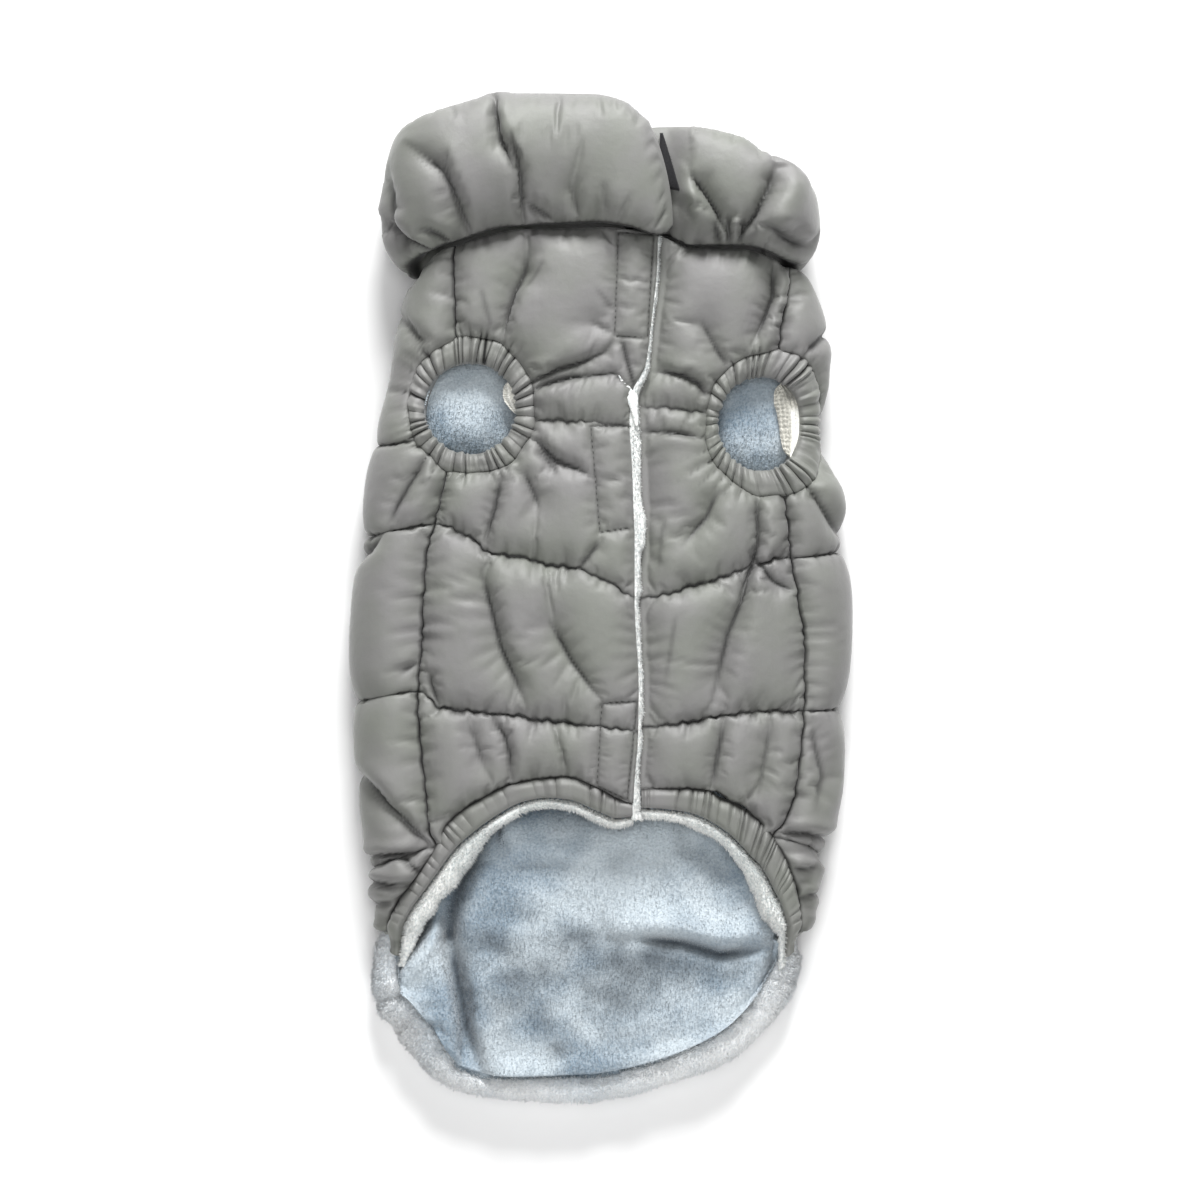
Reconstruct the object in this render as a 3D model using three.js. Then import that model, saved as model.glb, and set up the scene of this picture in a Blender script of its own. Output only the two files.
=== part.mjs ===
// A quilted dog winter coat that lies on its back, belly side up, in millimetres, +Z up.
// +Y runs from the tail to the collar and +X to the right as seen from above. The origin is on the
// surface that the coat rests on, under the middle of its outline.
// The body is a flattened tube of padded cloth. A point of the cloth is given by its plan position
// (x, y) on the upper layer, or by how far round the tube it lies, and by its height above the cloth's
// seam level. Each cut piece is a padded wall with a plain inside and a quilted outside.
import * as THREE from "three";

const WALL = 9.5; // shell and filling, from the seam level inwards
const SEAM_GAP = 0.35; // between pieces that are sewn together
const HOLE_GAP = 1.1; // between a leg cuff and the faceted edge of the hole it fills
const PUFF = 6.5; // how far a quilted chamber stands above its seams
const LINING = 2.6; // fleece lining of the back
const LINING_GAP = 1;
const UNDERLAP = 20; // how far the right front runs under the left one, a closing tape's width
const PLACKET = 4.6; // each front where they overlap, pressed flat
const BLEND = 12; // over this the flat placket swells to full padding
const LAP_ROOM = 5; // between the placket's edge and where the right front starts to swell

// Cross-sections of the body at its seam level, from the neck to where the hem opens.
const BODY = [
  { y: 182, left: -88, right: 99, height: 35, dome: 3 },
  { y: 157, left: -90.5, right: 101.5, height: 35, dome: 3.5 },
  { y: 130, left: -95, right: 108, height: 35, dome: 4 },
  { y: 107, left: -98.5, right: 108.5, height: 35, dome: 4 },
  { y: 87, left: -105, right: 106.5, height: 35, dome: 4 },
  { y: 75, left: -108.5, right: 107, height: 35, dome: 4 },
  { y: 50, left: -111.5, right: 113.5, height: 35, dome: 4.5 },
  { y: 32, left: -113, right: 115.5, height: 35, dome: 5 },
  { y: 0, left: -117, right: 118.5, height: 35, dome: 5 },
  { y: -30, left: -118.5, right: 118, height: 34.5, dome: 5 },
  { y: -50, left: -117.5, right: 116, height: 34, dome: 5 },
  { y: -80, left: -115.5, right: 114.5, height: 33, dome: 4.5 },
  { y: -105, left: -113.5, right: 112.5, height: 32, dome: 4 },
  { y: -130, left: -110, right: 106, height: 30, dome: 3 },
  { y: -150, left: -108.5, right: 103.5, height: 27, dome: 2 },
  { y: -172, left: -108, right: 101.5, height: 25, dome: 1 },
];

// Plan position of the seams between the back and the two fronts, and below them the back's free edge.
const LEFT_SEAM = [
  { y: 182, x: -72 },
  { y: 169, x: -72.5 },
  { y: 130, x: -71.5 },
  { y: 61, x: -76.5 },
  { y: 40, x: -81.5 },
  { y: 20, x: -86 },
  { y: -25, x: -88.5 },
  { y: -50, x: -90.5 },
  { y: -70, x: -89 },
  { y: -95, x: -86.5 },
  { y: -115, x: -84.5 },
  { y: -123, x: -81.5 },
  { y: -132, x: -87 },
  { y: -142, x: -94 },
  { y: -151, x: -100 },
  { y: -161, x: -104.5 },
  { y: -172, x: -106 },
];
const RIGHT_SEAM = [
  { y: 182, x: 94 },
  { y: 162, x: 93.5 },
  { y: 127, x: 89 },
  { y: 54, x: 91.5 },
  { y: 20, x: 95 },
  { y: 0, x: 98.5 },
  { y: -25, x: 101.5 },
  { y: -56, x: 101 },
  { y: -75, x: 99.5 },
  { y: -95, x: 97 },
  { y: -110, x: 91.5 },
  { y: -118, x: 85.5 },
  { y: -124, x: 89 },
  { y: -132, x: 93 },
  { y: -142, x: 96.5 },
  { y: -152, x: 98.5 },
  { y: -172, x: 99 },
];

// Free edge of the left front, and the width of the fleece that shows beyond it.
const PLACKET_EDGE = [
  { y: 186, x: 28.5, fleece: 2.6 },
  { y: 165, x: 28, fleece: 2 },
  { y: 140, x: 25.5, fleece: 2 },
  { y: 117, x: 22.5, fleece: 2.4 },
  { y: 100, x: 15, fleece: 4 },
  { y: 87, x: 15.5, fleece: 3.2 },
  { y: 70, x: 16.5, fleece: 3.6 },
  { y: 50, x: 17.5, fleece: 4.6 },
  { y: 30, x: 17.5, fleece: 4.6 },
  { y: 10, x: 17, fleece: 3.6 },
  { y: 0, x: 17, fleece: 2.2 },
  { y: -45, x: 19, fleece: 2 },
  { y: -70, x: 18.5, fleece: 2 },
  { y: -90, x: 17, fleece: 2.4 },
  { y: -112, x: 16, fleece: 4 },
];

// Neck seam of the fronts, from the left seam to the right one.
const NECK = [
  { x: -100, y: 162 },
  { x: -82, y: 172 },
  { x: -62, y: 179 },
  { x: -38, y: 184 },
  { x: 0, y: 184.5 },
  { x: 28, y: 181 },
  { x: 46, y: 174.5 },
  { x: 71, y: 174 },
  { x: 91, y: 167 },
  { x: 104, y: 159 },
];
const BACK_NECK = 158; // the back's neck seam, straight across

// Stitched line above each elastic hem, and the hem's edge, from the placket round to the tail corner.
const LEFT_HEM = [
  { x: 16, y: -101, edgeX: 16, edgeY: -107.5 },
  { x: 8, y: -98.5, edgeX: 8, edgeY: -108.5 },
  { x: 0, y: -94, edgeX: -1.5, edgeY: -105 },
  { x: -15, y: -88.5, edgeX: -15, edgeY: -99.5 },
  { x: -27.5, y: -89, edgeX: -26, edgeY: -98.5 },
  { x: -42.5, y: -91.5, edgeX: -38, edgeY: -100.5 },
  { x: -60, y: -100, edgeX: -54.5, edgeY: -109.5 },
  { x: -71, y: -107.5, edgeX: -63, edgeY: -116 },
  { x: -77.5, y: -114.5, edgeX: -70, edgeY: -122 },
  { x: -81.5, y: -123, edgeX: -75.5, edgeY: -128.5 },
  { x: -87, y: -132, edgeX: -81.5, edgeY: -137 },
  { x: -94, y: -142, edgeX: -88, edgeY: -146 },
  { x: -100, y: -151, edgeX: -94, edgeY: -154.5 },
  { x: -104, y: -159.5, edgeX: -98.5, edgeY: -162.5 },
];
const RIGHT_HEM = [
  { x: 20.5, y: -94.5, edgeX: 20.5, edgeY: -103.5 },
  { x: 32.5, y: -94, edgeX: 31, edgeY: -104 },
  { x: 45.5, y: -94.5, edgeX: 44, edgeY: -106 },
  { x: 53, y: -95.5, edgeX: 51, edgeY: -108.5 },
  { x: 59.5, y: -99.5, edgeX: 57.5, edgeY: -112 },
  { x: 67, y: -102.5, edgeX: 64.5, edgeY: -117 },
  { x: 73.5, y: -107, edgeX: 70, edgeY: -122.5 },
  { x: 80, y: -112, edgeX: 75, edgeY: -128 },
  { x: 85.5, y: -118, edgeX: 79.5, edgeY: -132.5 },
  { x: 89, y: -124, edgeX: 83, edgeY: -138 },
  { x: 93, y: -132, edgeX: 86.5, edgeY: -145 },
  { x: 96.5, y: -142, edgeX: 90, edgeY: -151.5 },
  { x: 98.5, y: -152, edgeX: 92.5, edgeY: -158.5 },
  { x: 99, y: -159, edgeX: 94, edgeY: -163 },
];
const HEM_GATHERS = 30; // on each side
const HEM_RUFFLE = 0.9;

// Outer outline of the tail flap, from its left corner round to its right one, with the width of the
// rolled fleece edge.
const TAIL = [
  { x: -110, y: -172, roll: 9 },
  { x: -112, y: -190, roll: 11 },
  { x: -110.5, y: -203, roll: 12 },
  { x: -103, y: -213, roll: 13 },
  { x: -94, y: -225, roll: 13 },
  { x: -83, y: -237, roll: 10 },
  { x: -72, y: -244, roll: 7 },
  { x: -55, y: -247.5, roll: 6 },
  { x: -34, y: -249, roll: 7 },
  { x: -8.5, y: -250, roll: 9 },
  { x: 10, y: -247.5, roll: 9 },
  { x: 30, y: -242, roll: 9 },
  { x: 50, y: -235, roll: 10 },
  { x: 68, y: -226, roll: 11 },
  { x: 83, y: -213, roll: 12 },
  { x: 93, y: -199.5, roll: 13 },
  { x: 97, y: -190, roll: 12 },
  { x: 99, y: -179, roll: 9 },
];
const FLAP_START = -166; // above this the back is a tube, below it a flap that lies open
const FLAP_CURL = 5; // how far the flap's edge stands off the surface
const ROLL_HEIGHT = 17;
const FLAP_GAP = 0.8; // between the flap's faceted edge and the roll

// Quilted rows: where each crosses the left outline, the placket and the right outline.
const ROWS = [
  { name: "chest", left: 76, leftSeam: 82, leftMiddle: 87, rightMiddle: 96, rightSeam: 92, right: 84 },
  { name: "waist", left: 32, leftSeam: 37, leftMiddle: 3, rightMiddle: 1, rightSeam: 20, right: 24 },
  { name: "belly", left: -48, leftSeam: -49, leftMiddle: -63.5, rightMiddle: -62.5, rightSeam: -55, right: -54 },
];
const LOIN_ROW = { left: -134, right: -128 }; // on the back alone

// Leg holes: the elastic cuff's outer and inner ellipses.
const LEG_HOLES = {
  left: { x: -63.5, y: 96.5, outerX: 31, outerY: 35, innerX: 23, innerY: 22.7, innerShiftX: -1, innerShiftY: -1.5 },
  right: { x: 84, y: 87, outerX: 33, outerY: 36, innerX: 21.5, innerY: 23.5, innerShiftX: -4, innerShiftY: 0.5 },
};
const CUFF_GATHERS = 36;
const CUFF_RUFFLE = 0.9;
const CUFF_ROLL = 4.5;

// The largest folds of the upper layer, as soft troughs between two points.
const FOLDS = [
  { x1: -36, y1: 163, x2: -48, y2: 133, width: 6, depth: 4 },
  { x1: -47, y1: 60, x2: -57, y2: 28, width: 5, depth: 3 },
  { x1: -30, y1: 77, x2: -4, y2: 61, width: 5, depth: 3.5 },
  { x1: -56, y1: 7, x2: -37, y2: -48, width: 6, depth: 4 },
  { x1: -28, y1: -8, x2: 0, y2: -50, width: 5, depth: 3.5 },
  { x1: -51, y1: -61, x2: -43, y2: -86, width: 5, depth: 3 },
  { x1: 86, y1: 163, x2: 77, y2: 128, width: 6, depth: 4 },
  { x1: 56, y1: 60, x2: 42, y2: 28, width: 6, depth: 3 },
  { x1: 76, y1: 50, x2: 78.5, y2: 20, width: 5, depth: 3 },
  { x1: 73, y1: 13, x2: 57.5, y2: -49, width: 6, depth: 4 },
  { x1: 59, y1: -64, x2: 52, y2: -93, width: 5, depth: 3 },
  { x1: -90, y1: 66, x2: -102, y2: 36, width: 5, depth: 3 },
  { x1: -113, y1: -86, x2: -84, y2: -121, width: 6, depth: 3.5 },
];

// Padded collar: a stuffed strip round the neck whose left end laps over its right one.
// "along" is the distance round the collar from the front's middle; low and high are its two edges.
const COLLAR_LAYER = 24; // thickness of one layer
const COLLAR_NECK = 8; // height of the neck opening between the layers
const COLLAR_LEFT = -93; // middle of the strip at its left and right turns
const COLLAR_RIGHT = 95;
const COLLAR_SEAM_DROP = 7; // how far the lower edge dips to meet the neck seam
const COLLAR_STATIONS = [
  { place: "under end", along: 12, low: 184.5, high: 230, thick: 5, lift: -7, flare: 0, slant: 0 },
  { place: "lapped", along: 16, low: 184.5, high: 233, thick: 11, lift: -6.5, flare: 0, slant: 0 },
  { place: "lapped edge", along: 33, low: 181, high: 234.5, thick: 13, lift: -5.5, flare: 0, slant: 0 },
  { place: "right front", along: 46, low: 176, high: 234, thick: 23, lift: -0.5, flare: 1, slant: 0 },
  { place: "right shoulder", along: 70, low: 176, high: 229, thick: 25, lift: 0, flare: 1, slant: 0 },
  { place: "right bend", along: 80, low: 174.5, high: 222, thick: 25, lift: 0, flare: 2, slant: 0 },
  { place: "right turn", along: 97, low: 169.5, high: 212, thick: 25, lift: 0, flare: 5, slant: 0 },
  { place: "right side", along: 106, low: 167.6, high: 208, thick: 25, lift: 0, flare: 5, slant: 0 },
  { place: "right under", along: 116, low: 160.5, high: 208, thick: 25, lift: 0, flare: 1, slant: 0 },
  { place: "back right", along: 130, low: 159.5, high: 212, thick: 23.5, lift: 1, flare: 0, slant: 0 },
  { place: "back middle", along: 207, low: 159.5, high: 236, thick: 23.5, lift: 1, flare: 0, slant: 0 },
  { place: "back left", along: 282, low: 159.5, high: 236, thick: 23.5, lift: 1, flare: 0, slant: 0 },
  { place: "left under", along: 300, low: 160.5, high: 232, thick: 25, lift: 0, flare: 1, slant: 0 },
  { place: "left side", along: 309, low: 166, high: 232, thick: 25, lift: 0, flare: 5, slant: 0 },
  { place: "left turn", along: 318, low: 171, high: 236, thick: 25, lift: 0, flare: 5, slant: 0 },
  { place: "left shoulder", along: 338, low: 177, high: 244, thick: 26, lift: 0.5, flare: 1, slant: 0 },
  { place: "left front", along: 368, low: 185, high: 250.5, thick: 27, lift: 1, flare: 1, slant: 0 },
  { place: "front middle", along: 408, low: 186.5, high: 250, thick: 25, lift: 2.5, flare: 0, slant: 0 },
  { place: "lap starts", along: 427, low: 186, high: 246, thick: 18, lift: 7, flare: 0, slant: 3 },
  { place: "lap", along: 441, low: 185, high: 239, thick: 15, lift: 8.5, flare: 0, slant: 8 },
  { place: "over end", along: 448.5, low: 186, high: 233, thick: 6, lift: 6.5, flare: 0, slant: 9 },
];
const COLLAR_FOLDS = [
  { along: 22, depth: 1, width: 5, from: 0, to: 0.4 },
  { along: 57, depth: 4, width: 5, from: 0, to: 0.75 },
  { along: 72, depth: 4.5, width: 6, from: 0, to: 0.8 },
  { along: 90, depth: 3, width: 5, from: 0, to: 0.45 },
  { along: 130, depth: 3, width: 6, from: 0, to: 0.6 },
  { along: 180, depth: 3, width: 6, from: 0, to: 0.6 },
  { along: 230, depth: 3, width: 6, from: 0, to: 0.6 },
  { along: 280, depth: 3, width: 6, from: 0, to: 0.6 },
  { along: 316, depth: 3, width: 6, from: 0, to: 0.6 },
  { along: 330, depth: 3, width: 5, from: 0, to: 0.5 },
  { along: 346, depth: 4, width: 6, from: 0, to: 0.75 },
  { along: 366, depth: 4.5, width: 6, from: 0.1, to: 1 },
  { along: 396, depth: 2, width: 6, from: 0, to: 0.3 },
  { along: 414, depth: 1.5, width: 6, from: 0, to: 0.3 },
];
const HOOK_TAPE = { thick: 1.2, start: 29.6, low: 0.46, endLow: 41, high: 0.9, endHigh: 31.5 };

const COLOURS = { shell: 0x8f908c, fleece: 0xb4c0c8, edging: 0xe9ece6, tape: 0x2e2e2f };

const lerp = (a, b, t) => a + (b - a) * t;
const clamp01 = (t) => Math.min(1, Math.max(0, t));
const smooth = (t) => clamp01(t) ** 2 * (3 - 2 * clamp01(t));

// A smooth curve through a table's rows: the value of column "to" at a value of column "from".
function curve(rows, from, to) {
  const sorted = [...rows].sort((a, b) => a[from] - b[from]);
  const at = sorted.map((row) => row[from]);
  const value = sorted.map((row) => row[to]);
  const slope = at.map((_, i) => {
    if (i === 0 || i === at.length - 1) return 0;
    const before = (value[i] - value[i - 1]) / (at[i] - at[i - 1]);
    const after = (value[i + 1] - value[i]) / (at[i + 1] - at[i]);
    return before * after <= 0 ? 0 : (2 * before * after) / (before + after);
  });
  return (x) => {
    if (x <= at[0]) return value[0];
    if (x >= at[at.length - 1]) return value[value.length - 1];
    const i = at.findIndex((a) => a > x) - 1;
    const span = at[i + 1] - at[i];
    const t = (x - at[i]) / span;
    const blend = t * t * (3 - 2 * t);
    return (
      lerp(value[i], value[i + 1], blend) +
      span * (slope[i] * t * (1 - t) ** 2 - slope[i + 1] * t * t * (1 - t))
    );
  };
}

const bodyLeft = curve(BODY, "y", "left");
const bodyRight = curve(BODY, "y", "right");
const bodyHeight = curve(BODY, "y", "height");
const bodyDome = curve(BODY, "y", "dome");
const leftSeam = curve(LEFT_SEAM, "y", "x");
const rightSeam = curve(RIGHT_SEAM, "y", "x");
const placketEdge = curve(PLACKET_EDGE, "y", "x");
const placketFleece = curve(PLACKET_EDGE, "y", "fleece");
const neckLine = curve(NECK, "x", "y");

// Where each side seam leaves the neck seam, and where it ends at the hem.
const SEAM_TOP = { left: neckLine(LEFT_SEAM[0].x), right: neckLine(RIGHT_SEAM[0].x) };
const SEAM_END = { left: -123, right: -118 };

// The tube's cross-section at y: two half circles joined by a flat underside and a domed top.
function section(y) {
  const radius = bodyHeight(y) / 2;
  const middle = (bodyLeft(y) + bodyRight(y)) / 2;
  const flat = (bodyRight(y) - bodyLeft(y)) / 2 - radius;
  return { radius, middle, flat, dome: bodyDome(y) };
}

// How far round the tube from the top's middle a plan position on the upper layer lies.
function roundTube(x, y) {
  const { radius, middle, flat } = section(y);
  const off = x - middle;
  const past = Math.abs(off) - flat;
  if (past <= 0) return off;
  return Math.sign(off) * (flat + radius * Math.asin(Math.min(1, past / radius)));
}

// The point that lies "round" from the top's middle, h above the cloth's seam level, and the way out.
function tubePoint(round, y, h) {
  const { radius, middle, flat, dome } = section(y);
  const side = Math.sign(round) || 1;
  const far = Math.abs(round);
  const place = new THREE.Vector3();
  const out = new THREE.Vector3();
  if (far <= flat) {
    const t = far / flat;
    const rise = dome * (1 - t * t) ** 2;
    const slope = (-4 * dome * t * (1 - t * t)) / flat;
    place.set(middle + side * far, y, 2 * radius + rise);
    out.set(-side * slope, 0, 1).normalize();
  } else if (far <= flat + Math.PI * radius) {
    const turn = (far - flat) / radius;
    out.set(side * Math.sin(turn), 0, Math.cos(turn));
    place.set(middle + side * flat, y, radius).addScaledVector(out, radius);
  } else {
    out.set(0, 0, -1);
    place.set(middle + side * (2 * flat + Math.PI * radius - far), y, 0);
  }
  return { place: place.addScaledVector(out, h), out };
}

const topPoint = (x, y, h) => tubePoint(roundTube(x, y), y, h).place;

// Depth of the largest folds at a plan position.
function foldDepth(x, y) {
  let depth = 0;
  for (const fold of FOLDS) {
    const run = new THREE.Vector2(fold.x2 - fold.x1, fold.y2 - fold.y1);
    const to = new THREE.Vector2(x - fold.x1, y - fold.y1);
    const along = clamp01(to.dot(run) / run.lengthSq());
    const off = to.addScaledVector(run, -along).length() / fold.width;
    depth = Math.max(depth, fold.depth * Math.exp(-off * off) * Math.sin(Math.PI * lerp(0.15, 0.85, along)));
  }
  return depth;
}

// Joins vertices and faces into a mesh that faces outwards.
function solid(name, points, faces, colour, roughness) {
  let volume = 0;
  for (const [a, b, c] of faces) volume += points[a].dot(points[b].clone().cross(points[c]));
  const index = faces.flatMap(([a, b, c]) => (volume < 0 ? [a, c, b] : [a, b, c]));
  const geometry = new THREE.BufferGeometry().setFromPoints(points);
  geometry.setIndex(index);
  geometry.computeVertexNormals();
  const material = new THREE.MeshStandardMaterial({ color: colour, roughness, metalness: 0 });
  const mesh = new THREE.Mesh(geometry, material);
  mesh.name = name;
  return mesh;
}

// A wall of cloth over a grid of parameters (c, v). "point" gives the outer or the inner point there,
// and cells or parts of cells inside "hole" are left out, with the edge put on the hole's outline.
function clothWall(name, columns, rows, point, hole, colour, roughness) {
  const outer = [];
  const inner = [];
  const known = new Map();
  const isCut = (c, v) => (hole ? hole(c, v) : false);
  const vertex = (c, v) => {
    const key = `${c.toFixed(6)},${v.toFixed(6)}`;
    if (!known.has(key)) {
      known.set(key, outer.length);
      outer.push(point(c, v, true));
      inner.push(point(c, v, false));
    }
    return known.get(key);
  };
  // Where the grid's edge from a kept corner to a cut one meets the hole.
  const crossing = ([c0, v0], [c1, v1]) => {
    let low = 0;
    let high = 1;
    for (let step = 0; step < 24; step++) {
      const t = (low + high) / 2;
      if (isCut(lerp(c0, c1, t), lerp(v0, v1, t))) high = t;
      else low = t;
    }
    const t = Math.max(low, 0.02);
    return vertex(lerp(c0, c1, t), lerp(v0, v1, t));
  };
  const polygons = [];
  for (let i = 0; i + 1 < columns.length; i++) {
    for (let j = 0; j + 1 < rows.length; j++) {
      const corners = [
        [columns[i], rows[j]],
        [columns[i + 1], rows[j]],
        [columns[i + 1], rows[j + 1]],
        [columns[i], rows[j + 1]],
      ];
      const cut = corners.map(([c, v]) => isCut(c, v));
      const centre = (wanted) => {
        const chosen = corners.filter((_, k) => cut[k] === wanted);
        return [0, 1].map((n) => chosen.reduce((sum, corner) => sum + corner[n], 0) / chosen.length);
      };
      const polygon = [];
      corners.forEach((corner, k) => {
        const next = (k + 1) % 4;
        if (!cut[k]) polygon.push(vertex(...corner));
        if (cut[k] !== cut[next]) {
          polygon.push(cut[k] ? crossing(corners[next], corner) : crossing(corner, corners[next]));
        }
        // One more point on the hole's outline halfway through the cell keeps its edge round.
        if (!cut[k] && cut[next]) polygon.push(crossing(centre(false), centre(true)));
      });
      if (polygon.length > 2) polygons.push(polygon);
    }
  }
  const count = outer.length;
  const faces = [];
  const edges = new Map();
  for (const polygon of polygons) {
    for (let k = 2; k < polygon.length; k++) {
      faces.push([polygon[0], polygon[k - 1], polygon[k]]);
      faces.push([count + polygon[0], count + polygon[k], count + polygon[k - 1]]);
    }
    polygon.forEach((a, k) => edges.set(`${a},${polygon[(k + 1) % polygon.length]}`, [a, polygon[(k + 1) % polygon.length]]));
  }
  // Both walls at a seam split their edge the same way, so their faces can't cross.
  for (const [a, b] of edges.values()) {
    if (edges.has(`${b},${a}`)) continue;
    if (outer[a].y < outer[b].y) faces.push([b, a, count + a], [b, count + a, count + b]);
    else faces.push([b, a, count + b], [a, count + a, count + b]);
  }
  return solid(name, [...outer, ...inner], faces, colour, roughness);
}

// A closed section carried along a path: rings of points, joined end to end or closed by flat caps.
function sweep(name, rings, isLoop, colour, roughness) {
  const size = rings[0].length;
  const points = rings.flat();
  const faces = [];
  const last = isLoop ? rings.length : rings.length - 1;
  for (let i = 0; i < last; i++) {
    const next = (i + 1) % rings.length;
    for (let k = 0; k < size; k++) {
      const after = (k + 1) % size;
      faces.push([i * size + k, next * size + k, next * size + after]);
      faces.push([i * size + k, next * size + after, i * size + after]);
    }
  }
  if (!isLoop) {
    for (const [ring, turn] of [[0, 1], [rings.length - 1, -1]]) {
      const centre = new THREE.Vector3();
      rings[ring].forEach((p) => centre.addScaledVector(p, 1 / size));
      const hub = points.push(centre) - 1;
      for (let k = 0; k < size; k++) {
        const a = ring * size + k;
        const b = ring * size + ((k + 1) % size);
        faces.push(turn > 0 ? [hub, a, b] : [hub, b, a]);
      }
    }
  }
  return solid(name, points, faces, colour, roughness);
}

const steps = (count) => Array.from({ length: count + 1 }, (_, i) => i / count);

// Row positions inside one quilted chamber: close together beside its seams.
const CHAMBER = [0, 0.08, 0.26, 0.5, 0.74, 0.92];
const chamberRows = (count) => [
  ...Array.from({ length: count }, (_, k) => CHAMBER.map((t) => k + t)).flat(),
  count,
];
const swell = (t) => Math.sin(Math.PI * clamp01(t)) ** 0.5;

// How much of the puff is left beside a leg hole, where the elastic pulls the cloth flat.
function nearHole(hole, across, y) {
  const ring = Math.hypot((across - hole.x) / hole.outerX, (y - hole.y) / hole.outerY) - 1;
  return Math.max(0.1, clamp01(ring / 0.35) ** 0.5);
}

// Whether a place round the tube falls inside a leg hole, with room left round the cuff.
function inLegHole(hole, round, y) {
  const { middle } = section(y);
  const across = (round + middle - hole.x) / (hole.outerX + HOLE_GAP);
  const along = (y - hole.y) / (hole.outerY + HOLE_GAP);
  return across * across + along * along < 1;
}

// Columns of a front: spread evenly over its padding, then at set distances from its free edge.
const PADDED_SHARE = 0.75;
const EDGE_ZONE = UNDERLAP + LAP_ROOM + BLEND;
const EDGE_COLUMNS = [31, 25, 17, 8, 0].map((distance) => 1 - (1 - PADDED_SHARE) * (distance / EDGE_ZONE));
const frontColumns = [...steps(13).map((t) => t * PADDED_SHARE), ...EDGE_COLUMNS];
const isFrontHem = (row) => row.y >= -123.5;

// Plan position on a front: c from the side seam to the free edge, v from the neck through the rows.
function frontPlan(side) {
  const isLeft = side === "left";
  const seam = isLeft ? leftSeam : rightSeam;
  const inward = isLeft ? 1 : -1;
  const hem = (isLeft ? LEFT_HEM : RIGHT_HEM).filter(isFrontHem);
  const hemLine = curve(hem, "x", "y");
  const seamEdge = (y) => seam(y) + inward * (SEAM_GAP / 2);
  const freeEdge = (y) => (isLeft ? placketEdge(y) : placketEdge(y) - UNDERLAP);
  const across = (y, c) => {
    const zone = freeEdge(y) - inward * EDGE_ZONE;
    if (c <= PADDED_SHARE) return lerp(seamEdge(y), zone, c / PADDED_SHARE);
    return lerp(zone, freeEdge(y), (c - PADDED_SHARE) / (1 - PADDED_SHARE));
  };
  const rowAt = (k, c) => {
    if (k === 0) return neckLine(across(SEAM_TOP[side], c));
    if (k > ROWS.length) return hemLine(across(SEAM_END[side], c)) + SEAM_GAP;
    const row = ROWS[k - 1];
    return lerp(isLeft ? row.leftSeam : row.rightSeam, isLeft ? row.leftMiddle : row.rightMiddle, (smooth(c) + c) / 2);
  };
  return (c, v) => {
    const k = Math.min(Math.floor(v), ROWS.length);
    const y = lerp(rowAt(k, c), rowAt(k + 1, c), v - k);
    return { x: across(y, c), y };
  };
}

function frontPanel(side) {
  const isLeft = side === "left";
  const seam = isLeft ? leftSeam : rightSeam;
  const hole = LEG_HOLES[side];
  const plan = frontPlan(side);
  const point = (c, v, isOuter) => {
    const { x, y } = plan(c, v);
    const padding = isLeft
      ? smooth((placketEdge(y) - UNDERLAP - LAP_ROOM - x) / BLEND)
      : smooth((x - placketEdge(y) - LAP_ROOM) / BLEND);
    if (!isOuter) return topPoint(x, y, lerp(isLeft ? SEAM_GAP : -PLACKET, -WALL, padding));
    const nearSeam = Math.min(1, Math.abs(x - seam(y)) / 12) ** 0.5;
    const puff = PUFF * Math.min(swell(v === ROWS.length + 1 ? 1 : v % 1), nearSeam);
    const raised = (puff - foldDepth(x, y)) * nearHole(hole, x, y) + 0.6;
    return topPoint(x, y, lerp(isLeft ? PLACKET + SEAM_GAP : 0, Math.max(0.5, raised), padding));
  };
  const isCut = (c, v) => {
    const { x, y } = plan(c, v);
    return inLegHole(hole, roundTube(x, y), y);
  };
  return clothWall(`belly_${side}`, frontColumns, chamberRows(ROWS.length + 1), point, isCut, COLOURS.shell, 0.5);
}

// The tail flap's outline by its share of the way from the left corner to the right one.
const tailPath = (() => {
  const line = TAIL.map((row, i) => ({ ...row, share: i / (TAIL.length - 1) }));
  const [x, y, roll] = ["x", "y", "roll"].map((column) => curve(line, "share", column));
  return (share, inset = 0) => {
    const step = 0.004;
    const run = new THREE.Vector2(x(share + step) - x(share - step), y(share + step) - y(share - step)).normalize();
    return { x: x(share) - run.y * inset, y: y(share) + run.x * inset, roll: roll(share) };
  };
})();

// The back: c from the left seam under the body to the right seam, v from the neck to the tail.
// Each row meets the fronts' row at the seam, and runs straight across under the body.
const BACK_CHAMBERS = ROWS.length + 2;
const SIDE_SHARE = 0.2; // of the half width, from the seam to the coat's outline
const backRows = [
  { leftSeam: SEAM_TOP.left, left: BACK_NECK, right: BACK_NECK, rightSeam: SEAM_TOP.right },
  ...ROWS,
  { leftSeam: SEAM_END.left, ...LOIN_ROW, rightSeam: SEAM_END.right },
  { leftSeam: FLAP_START, left: FLAP_START, right: FLAP_START, rightSeam: FLAP_START },
];
const backColumns = (() => {
  const sides = [0.16, 0.32, 0.46, 0.57, 0.62, 0.665, 0.71, 0.755, 0.8, 0.845, 0.89, 0.935, 1];
  return [...sides.map((c) => -c).reverse(), 0, ...sides];
})();
// The columns fan out evenly round the tail flap's edge.
const fanShare = curve(
  backColumns.map((c, i) => ({ c, share: i / (backColumns.length - 1) })),
  "c",
  "share",
);

function backRowAt(row, c) {
  const straight = lerp(row.left, row.right, clamp01((c / (1 - SIDE_SHARE) + 1) / 2));
  const seam = c < 0 ? row.leftSeam : row.rightSeam;
  return lerp(seam, straight, smooth((1 - Math.abs(c)) / SIDE_SHARE));
}

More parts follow.
